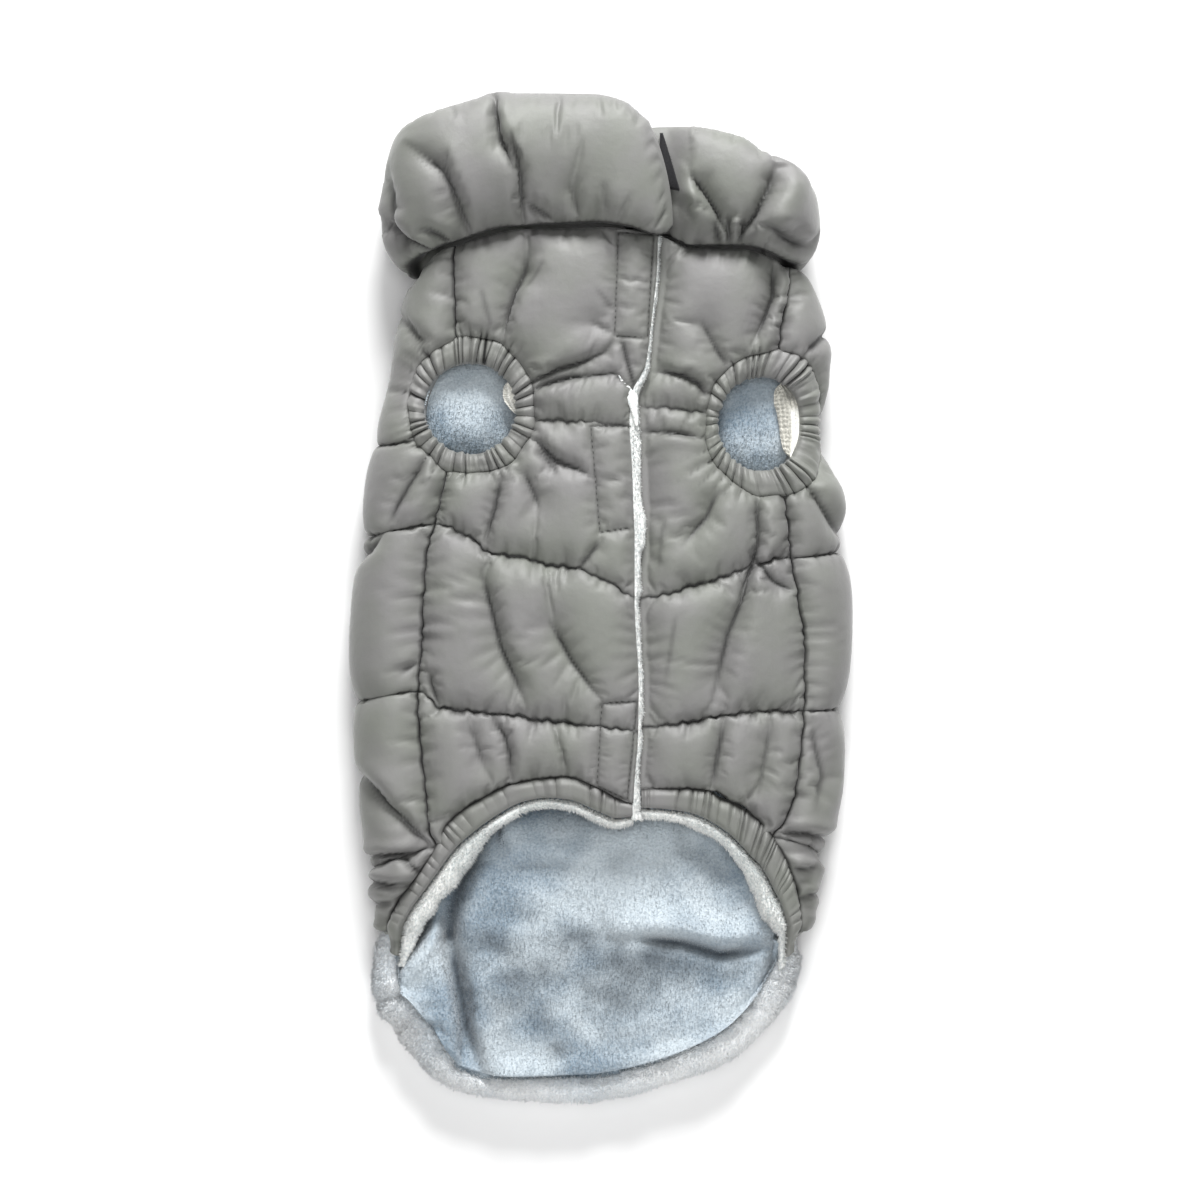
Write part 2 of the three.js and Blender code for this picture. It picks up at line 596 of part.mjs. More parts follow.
// Place and outward direction on the back, h above its seam level.
function backPoint(c, v, h) {
  const side = Math.sign(c) || 1;
  const k = Math.min(Math.floor(v), BACK_CHAMBERS - 1);
  const flap = clamp01(v - BACK_CHAMBERS);
  const y = flap > 0 ? FLAP_START : lerp(backRowAt(backRows[k], c), backRowAt(backRows[k + 1], c), v - k);
  const { radius, middle, flat } = section(y);
  const seam = side < 0 ? leftSeam(y) : rightSeam(y);
  const clearOfHem = 1.8 * smooth((SEAM_END.right - y) / 6);
  const edge = Math.abs(roundTube(seam, y)) + SEAM_GAP / 2 + clearOfHem;
  const fromBack = Math.abs(c) * (2 * flat + Math.PI * radius - edge);
  const round = side * (2 * flat + Math.PI * radius - fromBack);
  const tube = tubePoint(round, y, h);
  if (flap === 0) return { ...tube, round, y };
  const tube0 = tubePoint(round, y, 0);
  const share = fanShare(c);
  const end = tailPath(share, tailPath(share).roll + FLAP_GAP);
  const out = tube0.out.clone().lerp(new THREE.Vector3(0, 0, -1), smooth(flap * 1.6)).normalize();
  const place = new THREE.Vector3(
    lerp(tube0.place.x, end.x, flap),
    lerp(tube0.place.y, end.y, flap),
    lerp(tube0.place.z, 0, smooth(flap * 1.5)) + FLAP_CURL * smooth((flap - 0.8) / 0.2),
  );
  return { place: place.addScaledVector(out, h), out, round, y: place.y };
}

// How much of its quilting shows at a turn round the tube: none where the cloth rests on the floor.
function clearOfFloor(out) {
  const turn = Math.acos(THREE.MathUtils.clamp(out.z, -1, 1));
  return clamp01((THREE.MathUtils.degToRad(165) - turn) / THREE.MathUtils.degToRad(60));
}

function backHole(c, v) {
  if (v > BACK_CHAMBERS || Math.abs(c) < 0.7) return false;
  const { round, y } = backPoint(c, v, 0);
  return inLegHole(c < 0 ? LEG_HOLES.left : LEG_HOLES.right, round, y);
}

const FLAP_ROWS = [0.2, 0.4, 0.6, 0.8, 0.9, 1];

function backPanel() {
  const point = (c, v, isOuter) => {
    if (!isOuter) return backPoint(c, v, -WALL).place;
    const base = backPoint(c, v, 0);
    const fromSeam = Math.min(1, ((1 - Math.abs(c)) * 170) / 12) ** 0.5;
    const swollen = PUFF * Math.min(swell(v < BACK_CHAMBERS ? v % 1 : 0), fromSeam);
    const fold = base.out.z > 0.2 ? foldDepth(base.place.x, base.y) : 0;
    const hole = c < 0 ? LEG_HOLES.left : LEG_HOLES.right;
    const puff = (swollen - fold) * nearHole(hole, base.round + section(base.y).middle, base.y);
    return backPoint(c, v, (Math.max(0, puff) + 0.5) * clearOfFloor(base.out)).place;
  };
  const rows = [...chamberRows(BACK_CHAMBERS), ...FLAP_ROWS.map((t) => BACK_CHAMBERS + t)];
  return clothWall("back_panel", backColumns, rows, point, backHole, COLOURS.shell, 0.5);
}

// Fleece lining inside the back. It shows on the tail flap and through the leg holes. Its folds there
// are ridges that run along the coat.
const LINING_FOLDS = [
  { x: -84, y: -190, spreadX: 9, spreadY: 26, rise: 7 },
  { x: -66, y: -196, spreadX: 7, spreadY: 40, rise: 6 },
  { x: -92, y: -208, spreadX: 14, spreadY: 7, rise: 6 },
  { x: 20, y: -165, spreadX: 30, spreadY: 9, rise: 3 },
  { x: 52, y: -182, spreadX: 32, spreadY: 8, rise: 4 },
];

function backLining() {
  const depth = WALL + LINING_GAP;
  const point = (c, v, isOuter) => {
    const { place } = backPoint(c, v, -depth);
    if (isOuter) return place;
    let rise = 0;
    for (const fold of LINING_FOLDS) {
      const across = (place.x - fold.x) / fold.spreadX;
      const along = (place.y - fold.y) / fold.spreadY;
      rise = Math.max(rise, fold.rise * Math.exp(-across * across - along * along));
    }
    const inside = smooth((1 - Math.abs(c)) / 0.12) * smooth((BACK_CHAMBERS + 1 - v) / 0.15);
    return backPoint(c, v, -depth - LINING - rise * inside).place;
  };
  const tube = chamberRows(BACK_CHAMBERS).filter((v, i) => i % 3 === 1);
  const flap = [0.12, 0.24, 0.36, 0.48, 0.6, 0.72, 0.84, 0.94].map((t) => BACK_CHAMBERS + t);
  return clothWall("back_lining", backColumns, [...tube, ...flap], point, backHole, COLOURS.fleece, 0.95);
}

// Rolled fleece edge round the tail flap.
function tailRoll() {
  const SIDES = 8;
  const rings = steps(40).map((t) => {
    const share = lerp(0.005, 0.995, t);
    const { roll } = tailPath(share);
    const halfWidth = roll / 2 - 0.4;
    const middle = tailPath(share, roll / 2 - 0.3);
    const outside = tailPath(share, 0);
    const way = new THREE.Vector2(outside.x - middle.x, outside.y - middle.y).normalize();
    const height = ROLL_HEIGHT * lerp(0.75, 1, Math.sin(Math.PI * t));
    return Array.from({ length: SIDES }, (_, k) => {
      const turn = ((k + 0.5) / SIDES) * 2 * Math.PI;
      const off = halfWidth * Math.cos(turn);
      const flatter = Math.abs(Math.sin(turn)) ** 0.8 * Math.sign(Math.sin(turn));
      return new THREE.Vector3(
        middle.x + way.x * off,
        middle.y + way.y * off,
        Math.max(0, (height / 2) * (1 + flatter * 1.08)),
      );
    });
  });
  return sweep("tail_roll", rings, false, COLOURS.edging, 0.95);
}

// Elastic cuff round a leg hole: a gathered roll of shell cloth.
function legCuff(side) {
  const hole = LEG_HOLES[side];
  // Across the band from its outer edge to its inner one, and back underneath.
  const profile = [
    { across: 0, h: 0.6, wave: 0.3 },
    { across: 0.3, h: CUFF_ROLL, wave: 1 },
    { across: 0.72, h: CUFF_ROLL - 0.6, wave: 1 },
    { across: 1, h: 0.5, wave: 0.6 },
    { across: 1, h: -WALL + 3, wave: 0.2 },
    { across: 0.85, h: -WALL, wave: 0 },
    { across: 0, h: -WALL, wave: 0 },
  ];
  const count = CUFF_GATHERS * 2;
  const rings = Array.from({ length: count }, (_, i) => {
    const angle = (i / count) * 2 * Math.PI;
    const wave = CUFF_RUFFLE * (i % 2 ? -1 : 1);
    return profile.map(({ across, h, wave: share }) => {
      const x = lerp(
        hole.x + hole.outerX * Math.cos(angle),
        hole.x + hole.innerShiftX + hole.innerX * Math.cos(angle),
        across,
      );
      const y = lerp(
        hole.y + hole.outerY * Math.sin(angle),
        hole.y + hole.innerShiftY + hole.innerY * Math.sin(angle),
        across,
      );
      return tubePoint(x - section(y).middle, y, h + wave * share).place;
    });
  });
  return sweep(`leg_cuff_${side}`, rings, true, COLOURS.shell, 0.55);
}

// Elastic hem along one side of the opening: a gathered band, and the fleece that shows below it.
function hemPieces(side) {
  const isLeft = side === "left";
  const table = (isLeft ? LEFT_HEM : RIGHT_HEM).map((row, i, all) => ({ ...row, share: i / (all.length - 1) }));
  const [x, y, edgeX, edgeY] = ["x", "y", "edgeX", "edgeY"].map((column) => curve(table, "share", column));
  const at = (share, across) => ({
    x: lerp(x(share), edgeX(share), across),
    y: lerp(y(share), edgeY(share), across),
  });
  const bandGap = 0.06; // share of the band's width left free at the stitched line
  const strip = (count, profile, ruffle) =>
    steps(count).map((share, i) => {
      const wave = ruffle * (i % 2 ? -1 : 1);
      const lap = isLeft ? smooth((0.32 - share) / 0.1) : 0;
      return profile(share).map(({ across, h, wave: part = 0 }) => {
        const place = at(share, across);
        const raised = lerp(h, h > 0 ? h + 2 : 0.5, lap);
        return topPoint(place.x, place.y, raised + wave * part);
      });
    });
  const band = strip(
    HEM_GATHERS * 2,
    () => [
      { across: bandGap, h: 0.8, wave: 0.2 },
      { across: 0.35, h: 3, wave: 1 },
      { across: 0.75, h: 2.6, wave: 1 },
      { across: 0.94, h: 0.6, wave: 0.5 },
      { across: 0.94, h: -WALL + 2, wave: 0 },
      { across: bandGap, h: -WALL + 2, wave: 0 },
    ],
    HEM_RUFFLE,
  );
  const fleece = strip(
    28,
    (share) => {
      const reach = 1.5 + 0.35 * Math.sin(Math.PI * share);
      return [
        { across: 1.06, h: 0.9 },
        { across: lerp(1, reach, 0.5), h: 1.6 },
        { across: reach, h: -1.5 },
        { across: reach, h: -WALL + 3 },
        { across: lerp(1, reach, 0.5), h: -WALL + 1.6 },
        { across: 1.06, h: -WALL + 2.4 },
      ];
    },
    0,
  );
  return [
    sweep(`hem_band_${side}`, band, false, COLOURS.shell, 0.55),
    sweep(`hem_fleece_${side}`, fleece, false, COLOURS.edging, 0.95),
  ];
}

// Fleece that shows along the free edge of the left front.
function placketFleeceStrip() {
  const profile = [
    { across: 0, h: PLACKET - 0.4 },
    { across: 0.5, h: PLACKET + 0.2 },
    { across: 1, h: PLACKET - 1.4 },
    { across: 1, h: 1.2 },
    { across: 0, h: 0.6 },
  ];
  const plan = frontPlan("left");
  const rings = chamberRows(ROWS.length + 1).map((v) => {
    const { y } = plan(1, v);
    const start = placketEdge(y) + SEAM_GAP;
    return profile.map(({ across, h }) => topPoint(start + across * placketFleece(y), y, h));
  });
  return sweep("placket_fleece", rings, false, COLOURS.edging, 0.95);
}

// The collar's middle line is a ring like the body's tube, and its section a soft oval.
const collar = (() => {
  const radius = (COLLAR_LAYER + COLLAR_NECK) / 2;
  const middle = (COLLAR_LEFT + COLLAR_RIGHT) / 2;
  const flat = (COLLAR_RIGHT - COLLAR_LEFT) / 2 - radius;
  const around = 4 * flat + 2 * Math.PI * radius;
  const [low, high, thick, lift, flare, slant] = ["low", "high", "thick", "lift", "flare", "slant"].map(
    (column) => curve(COLLAR_STATIONS, "along", column),
  );
  // Place on the collar at a share "up" of its height, "off" of its half thickness above its middle.
  return (along, up, off, extra = 0) => {
    const past = along - slant(along) * up * up - middle;
    const round = past > around / 2 ? past - around : past;
    const side = Math.sign(round) || 1;
    const far = Math.abs(round);
    const out = new THREE.Vector3(0, 0, 1);
    const place = new THREE.Vector3(middle + round, 0, COLLAR_LAYER / 2 + 2 * radius);
    if (far > flat + Math.PI * radius) {
      out.set(0, 0, -1);
      place.set(middle + side * (2 * flat + Math.PI * radius - far), 0, COLLAR_LAYER / 2);
    } else if (far > flat) {
      const turn = (far - flat) / radius;
      out.set(side * Math.sin(turn), 0, Math.cos(turn));
      place.set(middle + side * flat, 0, COLLAR_LAYER / 2 + radius).addScaledVector(out, radius);
    }
    place.y = lerp(low(along), high(along), up) - flare(along) * off * (1 - up) ** 2;
    const dip = COLLAR_SEAM_DROP * (1 - smooth(up / 0.5)) * Math.max(0, out.z) * smooth(lift(along) / -4 + 1);
    return place.addScaledVector(out, lift(along) - dip + (off * thick(along)) / 2 + extra);
  };
})();

function collarFold(along, up) {
  let depth = 0;
  for (const fold of COLLAR_FOLDS) {
    const off = (along - fold.along) / fold.width;
    const reach = smooth((fold.to - up) / 0.2) * smooth((up - fold.from) / 0.1 + 1);
    depth = Math.max(depth, fold.depth * Math.exp(-off * off) * reach);
  }
  return depth;
}

const collarSection = (turn) => ({
  up: 0.5 - 0.5 * Math.sign(Math.cos(turn)) * Math.abs(Math.cos(turn)) ** 0.8,
  off: Math.sign(Math.sin(turn)) * Math.abs(Math.sin(turn)) ** 0.75,
});

function collarStrip() {
  const SIDES = 14;
  const first = COLLAR_STATIONS[0].along;
  const last = COLLAR_STATIONS[COLLAR_STATIONS.length - 1].along;
  const count = 74;
  const rings = steps(count).map((t) => {
    const along = lerp(first, last, t);
    return Array.from({ length: SIDES }, (_, k) => {
      const { up, off } = collarSection((k / SIDES) * 2 * Math.PI);
      const place = collar(along, up, off, off > 0.3 ? -collarFold(along, up) : 0);
      place.z = Math.max(0, place.z);
      return place;
    });
  });
  return sweep("collar", rings, false, COLOURS.shell, 0.5);
}

// Hook tape on the collar's lapped end. Only its slanting edge shows beyond the upper end.
function hookTape() {
  const rings = steps(8).map((t) => {
    const end = (up) =>
      lerp(HOOK_TAPE.endLow, HOOK_TAPE.endHigh, (up - HOOK_TAPE.low) / (HOOK_TAPE.high - HOOK_TAPE.low));
    const place = (up, lift) => collar(lerp(HOOK_TAPE.start, end(up), t), up, 1, lift);
    const ups = [HOOK_TAPE.low, lerp(HOOK_TAPE.low, HOOK_TAPE.high, 0.5), HOOK_TAPE.high];
    return [
      ...ups.map((up) => place(up, 0.4)),
      ...[...ups].reverse().map((up) => place(up, 0.4 + HOOK_TAPE.thick)),
    ];
  });
  return sweep("hook_tape", rings, false, COLOURS.tape, 0.9);
}

const coat = new THREE.Group();
coat.add(
  backPanel(),
  backLining(),
  frontPanel("left"),
  frontPanel("right"),
  legCuff("left"),
  legCuff("right"),
  ...hemPieces("left"),
  ...hemPieces("right"),
  placketFleeceStrip(),
  tailRoll(),
  collarStrip(),
  hookTape(),
);

export default coat;
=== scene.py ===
"""A quilted dog winter coat that lies on its back, belly side up, dressed in nylon and fleece.

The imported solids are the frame. Each visible piece is made again here as a finer surface on the same
sections: padded panels with their quilting, gathers and creases, elastic cuffs and hems, a stuffed
collar, and a plush lining. Sizes are in millimetres until a mesh is made.
"""

from __future__ import annotations

import logging
import math
from dataclasses import dataclass
from enum import Enum

import bpy
import numpy as np
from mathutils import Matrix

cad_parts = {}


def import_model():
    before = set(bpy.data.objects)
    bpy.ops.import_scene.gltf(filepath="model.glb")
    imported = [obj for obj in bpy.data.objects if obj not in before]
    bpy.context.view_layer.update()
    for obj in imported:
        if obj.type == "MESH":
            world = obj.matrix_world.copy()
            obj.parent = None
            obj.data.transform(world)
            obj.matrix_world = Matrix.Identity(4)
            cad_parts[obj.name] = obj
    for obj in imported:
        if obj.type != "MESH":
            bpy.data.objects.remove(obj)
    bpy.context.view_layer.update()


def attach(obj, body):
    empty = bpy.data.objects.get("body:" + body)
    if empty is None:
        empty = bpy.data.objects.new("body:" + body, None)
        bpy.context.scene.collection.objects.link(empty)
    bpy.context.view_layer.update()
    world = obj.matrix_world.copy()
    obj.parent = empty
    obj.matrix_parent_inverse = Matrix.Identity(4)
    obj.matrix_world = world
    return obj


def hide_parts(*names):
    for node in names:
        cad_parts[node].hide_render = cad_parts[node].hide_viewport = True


MM = 0.001
WALL = 9.5
SEAM_GAP = 0.35
LINING_DEPTH = WALL + 1.0
LINING_THICK = 2.6
UNDERLAP = 20.0
PLACKET = 4.6
PAD_HEIGHT = 7.0
FAR = 99.0

log = logging.getLogger("coat")


def smooth(t: np.ndarray) -> np.ndarray:
    """Ease from 0 to 1 with level ends: three t squared less two t cubed."""
    t = np.clip(t, 0.0, 1.0)
    return t * t * (3.0 - 2.0 * t)


def mix(a: np.ndarray, b: np.ndarray, t: np.ndarray) -> np.ndarray:
    """Go from a to b by the share t."""
    return a + (b - a) * t


def bump(d: np.ndarray, width: float) -> np.ndarray:
    """Bell of height 1: e to the minus d over width squared."""
    return np.exp(-((d / width) ** 2))


def wander(s: np.ndarray, pitch: float, seed: int) -> np.ndarray:
    """Smooth random line between -1 and 1 with a new value every pitch.

    Args:
        s: Distance along the line.
        pitch: Distance from one random value to the next.
        seed: Picks the line.

    Returns:
        The line's value at each s.
    """
    values = np.random.default_rng(seed).uniform(-1.0, 1.0, 997)
    at = s / pitch
    cell = np.floor(at).astype(int)
    return mix(values[cell % 997], values[(cell + 1) % 997], smooth(at - cell))


def mottle(x: np.ndarray, y: np.ndarray, pitch: float, seed: int) -> np.ndarray:
    """Smooth random surface between -1 and 1: a lattice of random values blended both ways.

    Args:
        x: First coordinate.
        y: Second coordinate.
        pitch: Lattice spacing.
        seed: Picks the surface.

    Returns:
        The surface's value at each point.
    """
    values = np.random.default_rng(seed).uniform(-1.0, 1.0, (113, 113))
    column = np.floor(x / pitch).astype(int)
    row = np.floor(y / pitch).astype(int)
    across = smooth(x / pitch - column)
    down = smooth(y / pitch - row)
    low = mix(values[row % 113, column % 113], values[row % 113, (column + 1) % 113], across)
    high = mix(values[(row + 1) % 113, column % 113], values[(row + 1) % 113, (column + 1) % 113], across)
    return mix(low, high, down)


class Curve:
    """Smooth curve through points, level at both ends, with no overshoot between them."""

    def __init__(self, at: list[float], value: list[float]) -> None:
        """Store the points in rising order and work out the slope at each.

        Args:
            at: Where each point lies.
            value: The curve's value there.
        """
        order = np.argsort(at)
        self.at = np.asarray(at, float)[order]
        self.value = np.asarray(value, float)[order]
        step = np.diff(self.value) / np.diff(self.at)
        self.slope = np.zeros(len(self.at))
        before, after = step[:-1], step[1:]
        same_way = before * after > 0
        total = np.where(same_way, before + after, 1.0)
        self.slope[1:-1] = np.where(same_way, 2.0 * before * after / total, 0.0)

    def __call__(self, x: np.ndarray) -> np.ndarray:
        """Read the curve: a cubic between each two points that keeps their values and slopes."""
        x = np.clip(np.asarray(x, float), self.at[0], self.at[-1])
        i = np.clip(np.searchsorted(self.at, x, side="right") - 1, 0, len(self.at) - 2)
        span = self.at[i + 1] - self.at[i]
        t = (x - self.at[i]) / span
        bend = self.slope[i] * t * (1 - t) ** 2 - self.slope[i + 1] * t * t * (1 - t)
        return mix(self.value[i], self.value[i + 1], t * t * (3 - 2 * t)) + span * bend


@dataclass(frozen=True)
class Table:
    """Rows of sizes under named columns.

    Attributes:
        columns: Name of each column.
        rows: One tuple of numbers for each section or point.
    """

    columns: tuple[str, ...]
    rows: tuple[tuple[float, ...], ...]

    def column(self, name: str) -> list[float]:
        """Return one column's numbers."""
        return [row[self.columns.index(name)] for row in self.rows]

    def curve(self, at: str, value: str) -> Curve:
        """Return the smooth curve of one column against another."""
        return Curve(self.column(at), self.column(value))

    def path(self, value: str) -> Curve:
        """Return the smooth curve of a column against the row's share of the table's length."""
        return Curve(list(np.linspace(0.0, 1.0, len(self.rows))), self.column(value))


BODY = Table(
    ("y", "left", "right", "height", "dome"),
    (
        (182, -88, 99, 35, 3),
        (157, -90.5, 101.5, 35, 3.5),
        (130, -95, 108, 35, 4),
        (107, -98.5, 108.5, 35, 4),
        (87, -105, 106.5, 35, 4),
        (75, -108.5, 107, 35, 4),
        (50, -111.5, 113.5, 35, 4.5),
        (32, -113, 115.5, 35, 5),
        (0, -117, 118.5, 35, 5),
        (-30, -118.5, 118, 34.5, 5),
        (-50, -117.5, 116, 34, 5),
        (-80, -115.5, 114.5, 33, 4.5),
        (-105, -113.5, 112.5, 32, 4),
        (-130, -110, 106, 30, 3),
        (-150, -108.5, 103.5, 27, 2),
        (-172, -108, 101.5, 25, 1),
    ),
)
LEFT_SEAM = Table(
    ("y", "x"),
    (
        (182, -72), (169, -72.5), (130, -71.5), (61, -76.5), (40, -81.5), (20, -86), (-25, -88.5),
        (-50, -90.5), (-70, -89), (-95, -86.5), (-115, -84.5), (-123, -81.5), (-132, -87),
        (-142, -94), (-151, -100), (-161, -104.5), (-172, -106),
    ),
)
RIGHT_SEAM = Table(
    ("y", "x"),
    (
        (182, 94), (162, 93.5), (127, 89), (54, 91.5), (20, 95), (0, 98.5), (-25, 101.5), (-56, 101),
        (-75, 99.5), (-95, 97), (-110, 91.5), (-118, 85.5), (-124, 89), (-132, 93), (-142, 96.5),
        (-152, 98.5), (-172, 99),
    ),
)
PLACKET_EDGE = Table(
    ("y", "x", "fleece"),
    (
        (186, 28.5, 2.6), (165, 28, 2), (140, 25.5, 2.2), (117, 22.5, 2.6), (100, 15, 4), (87, 14.5, 5),
        (70, 15.5, 4.8), (50, 16.5, 5.2), (30, 17, 4.8), (10, 17, 3.8), (0, 17, 2.6), (-45, 19, 2.4),
        (-70, 18.5, 2.4), (-90, 17, 3), (-112, 16, 5),
    ),
)
NECK = Table(
    ("x", "y"),
    (
        (-100, 162), (-82, 172), (-62, 179), (-38, 184), (0, 184.5), (28, 181), (46, 174.5), (71, 174),
        (91, 167), (104, 159),
    ),
)
LEFT_HEM = Table(
    ("x", "y", "edge_x", "edge_y"),
    (
        (16, -101, 16, -107.5), (8, -98.5, 8, -108.5), (0, -94, -1.5, -105), (-15, -88.5, -15, -99.5),
        (-27.5, -89, -26, -98.5), (-42.5, -91.5, -38, -100.5), (-60, -100, -54.5, -109.5),
        (-71, -107.5, -63, -116), (-77.5, -114.5, -70, -122), (-81.5, -123, -75.5, -128.5),
        (-87, -132, -81.5, -137), (-94, -142, -88, -146), (-100, -151, -94, -154.5),
        (-104, -159.5, -98.5, -162.5),
    ),
)
RIGHT_HEM = Table(
    ("x", "y", "edge_x", "edge_y"),
    (
        (20.5, -94.5, 20.5, -103.5), (32.5, -94, 31, -104), (45.5, -94.5, 44, -106),
        (53, -95.5, 51, -108.5), (59.5, -99.5, 57.5, -112), (67, -102.5, 64.5, -117),
        (73.5, -107, 70, -122.5), (80, -112, 75, -128), (85.5, -118, 79.5, -132.5),
        (89, -124, 83, -138), (93, -132, 86.5, -145), (96.5, -142, 90, -151.5),
        (98.5, -152, 92.5, -158.5), (99, -159, 94, -163),
    ),
)
TAIL = Table(
    ("x", "y", "roll"),
    (
        (-110, -172, 9), (-112, -190, 11), (-110.5, -203, 12), (-103, -213, 13), (-94, -225, 13),
        (-83, -237, 10), (-72, -244, 7), (-55, -247.5, 6), (-34, -249, 7), (-8.5, -250, 9),
        (10, -247.5, 9), (30, -242, 9), (50, -235, 10), (68, -226, 11), (83, -213, 12),
        (93, -199.5, 13), (97, -190, 12), (99, -179, 9),
    ),
)
BACK_NECK = 158.0
LOIN_LEFT = -134.0
LOIN_RIGHT = -128.0
FLAP_START = -166.0
FLAP_CURL = 5.0
FLAP_GAP = 0.8
SIDE_SHARE = 0.2


class Side(Enum):
    """Side of the coat as seen from above."""

    LEFT = "left"
    RIGHT = "right"


class Tube:
    """The coat's body: a flattened tube of cloth, flat below, half round at its sides and domed above."""

    def __init__(self) -> None:
        """Read the sections."""
        self.left = BODY.curve("y", "left")
        self.right = BODY.curve("y", "right")
        self.height = BODY.curve("y", "height")
        self.crown = BODY.curve("y", "dome")
        self.seams = {Side.LEFT: LEFT_SEAM.curve("y", "x"), Side.RIGHT: RIGHT_SEAM.curve("y", "x")}

    def seam(self, side: Side, y: np.ndarray) -> np.ndarray:
        """Return where a side seam lies at y, with the small wandering of its stitches."""
        return self.seams[side](y) + 0.5 * wander(np.asarray(y) + 300, 2.9, 31)

    def section(self, y: np.ndarray) -> tuple[np.ndarray, np.ndarray, np.ndarray]:
        """Return the side radius, the middle and the half width of the flat part at y."""
        radius = self.height(y) / 2
        middle = (self.left(y) + self.right(y)) / 2
        return radius, middle, (self.right(y) - self.left(y)) / 2 - radius

    def round_of(self, x: np.ndarray, y: np.ndarray) -> np.ndarray:
        """Return how far round the tube from the top's middle a point of the upper layer lies."""
        radius, middle, flat = self.section(y)
        off = x - middle
        past = np.clip((np.abs(off) - flat) / radius, 0.0, 1.0)
        return np.where(np.abs(off) <= flat, off, np.sign(off) * (flat + radius * np.arcsin(past)))

    def place(self, around: np.ndarray, y: np.ndarray, h: np.ndarray) -> tuple[np.ndarray, np.ndarray]:
        """Find points round the tube.

        On the flat part x is the distance from the middle and the dome is (1 - t squared) squared. Past
        it the point turns about the side's centre, and past half a turn it lies on the flat underside.

        Args:
            around: Distance round the tube from the top's middle.
            y: Place along the coat.
            h: Height above the cloth's seam level.

        Returns:
            The points and the outward directions, each with a last axis of 3.
        """
        radius, middle, flat = self.section(y)
        crown = self.crown(y)
        side = np.where(around < 0, -1.0, 1.0)
        far = np.abs(around)
        turn = np.clip((far - flat) / radius, 0.0, np.pi)
        below = np.maximum(far - flat - np.pi * radius, 0.0)
        t = np.clip(far / flat, 0.0, 1.0)
        slope = np.where(far < flat, -4 * crown * t * (1 - t * t) / flat, 0.0)
        normal = np.stack([side * (np.sin(turn) - slope), np.zeros_like(far + y), np.cos(turn)], axis=-1)
        normal /= np.linalg.norm(normal, axis=-1, keepdims=True)
        x = middle + side * (np.minimum(far, flat) + radius * np.sin(turn) - below)
        z = radius * (1 + np.cos(turn)) + crown * (1 - t * t) ** 2
        base = np.stack([x, y + np.zeros_like(x), z], axis=-1)
        return base + normal * np.asarray(h)[..., None], normal


TUBE = Tube()
PLACKET_X = PLACKET_EDGE.curve("y", "x")
FLEECE_WIDTH = PLACKET_EDGE.curve("y", "fleece")
NECK_Y = NECK.curve("x", "y")


def from_line(line: tuple[tuple[float, float], ...], x: np.ndarray, y: np.ndarray) -> np.ndarray:
    """Return each point's distance to a line of straight runs.

    Args:
        line: Points that the line runs through.
        x: First coordinate.
        y: Second coordinate.

    Returns:
        Distances.
    """
    best = np.full(np.broadcast(x, y).shape, np.inf)
    for (x0, y0), (x1, y1) in zip(line, line[1:]):
        run_x, run_y = x1 - x0, y1 - y0
        t = np.clip(((x - x0) * run_x + (y - y0) * run_y) / (run_x**2 + run_y**2), 0, 1)
        best = np.minimum(best, np.hypot(x - x0 - t * run_x, y - y0 - t * run_y))
    return best


@dataclass(frozen=True)
class ShadingBand:
    """A band of painted shade on the pile, turned to painted light where its shade is below 0.

    Attributes:
        line: Points in x and y that the band runs through.
        width: How wide it is.
        shade: From -1, palest, to 1, darkest.
    """

    line: tuple[tuple[float, float], ...]
    width: float
    shade: float

    def tone(self, x: np.ndarray, y: np.ndarray) -> np.ndarray:
        """Return the shade times a bell of the distance to the line, with a wandering edge."""
        away = from_line(self.line, x, y) * (1 + 0.3 * mottle(x, y, 9.0, 61))
        return self.shade * bump(away, self.width)


@dataclass(frozen=True)
class Pillow:
    """A stuffed rise of cloth inside a closed outline.

    Attributes:
        outline: Corner points in x and y.
        rise: Height of its middle.
        shoulder: Distance from the outline to full height.
    """

    outline: tuple[tuple[float, float], ...]
    rise: float
    shoulder: float

    def relief(self, x: np.ndarray, y: np.ndarray) -> np.ndarray:
        """Work out the rise at each point: the stuffed profile of its distance inside the outline.

        Args:
            x: First coordinate.
            y: Second coordinate.

        Returns:
            Heights, 0 outside.
        """
        ring = self.outline + self.outline[:1]
        away = from_line(ring, x, y)
        inside = np.zeros(x.shape, bool)
        for (x0, y0), (x1, y1) in zip(ring, ring[1:]):
            crosses = (y0 > y) != (y1 > y)
            inside ^= crosses & (x < x0 + (y - y0) * (x1 - x0) / ((y1 - y0) or 1e-9))
        return self.rise * pad(np.where(inside, away, 0.0), self.shoulder)


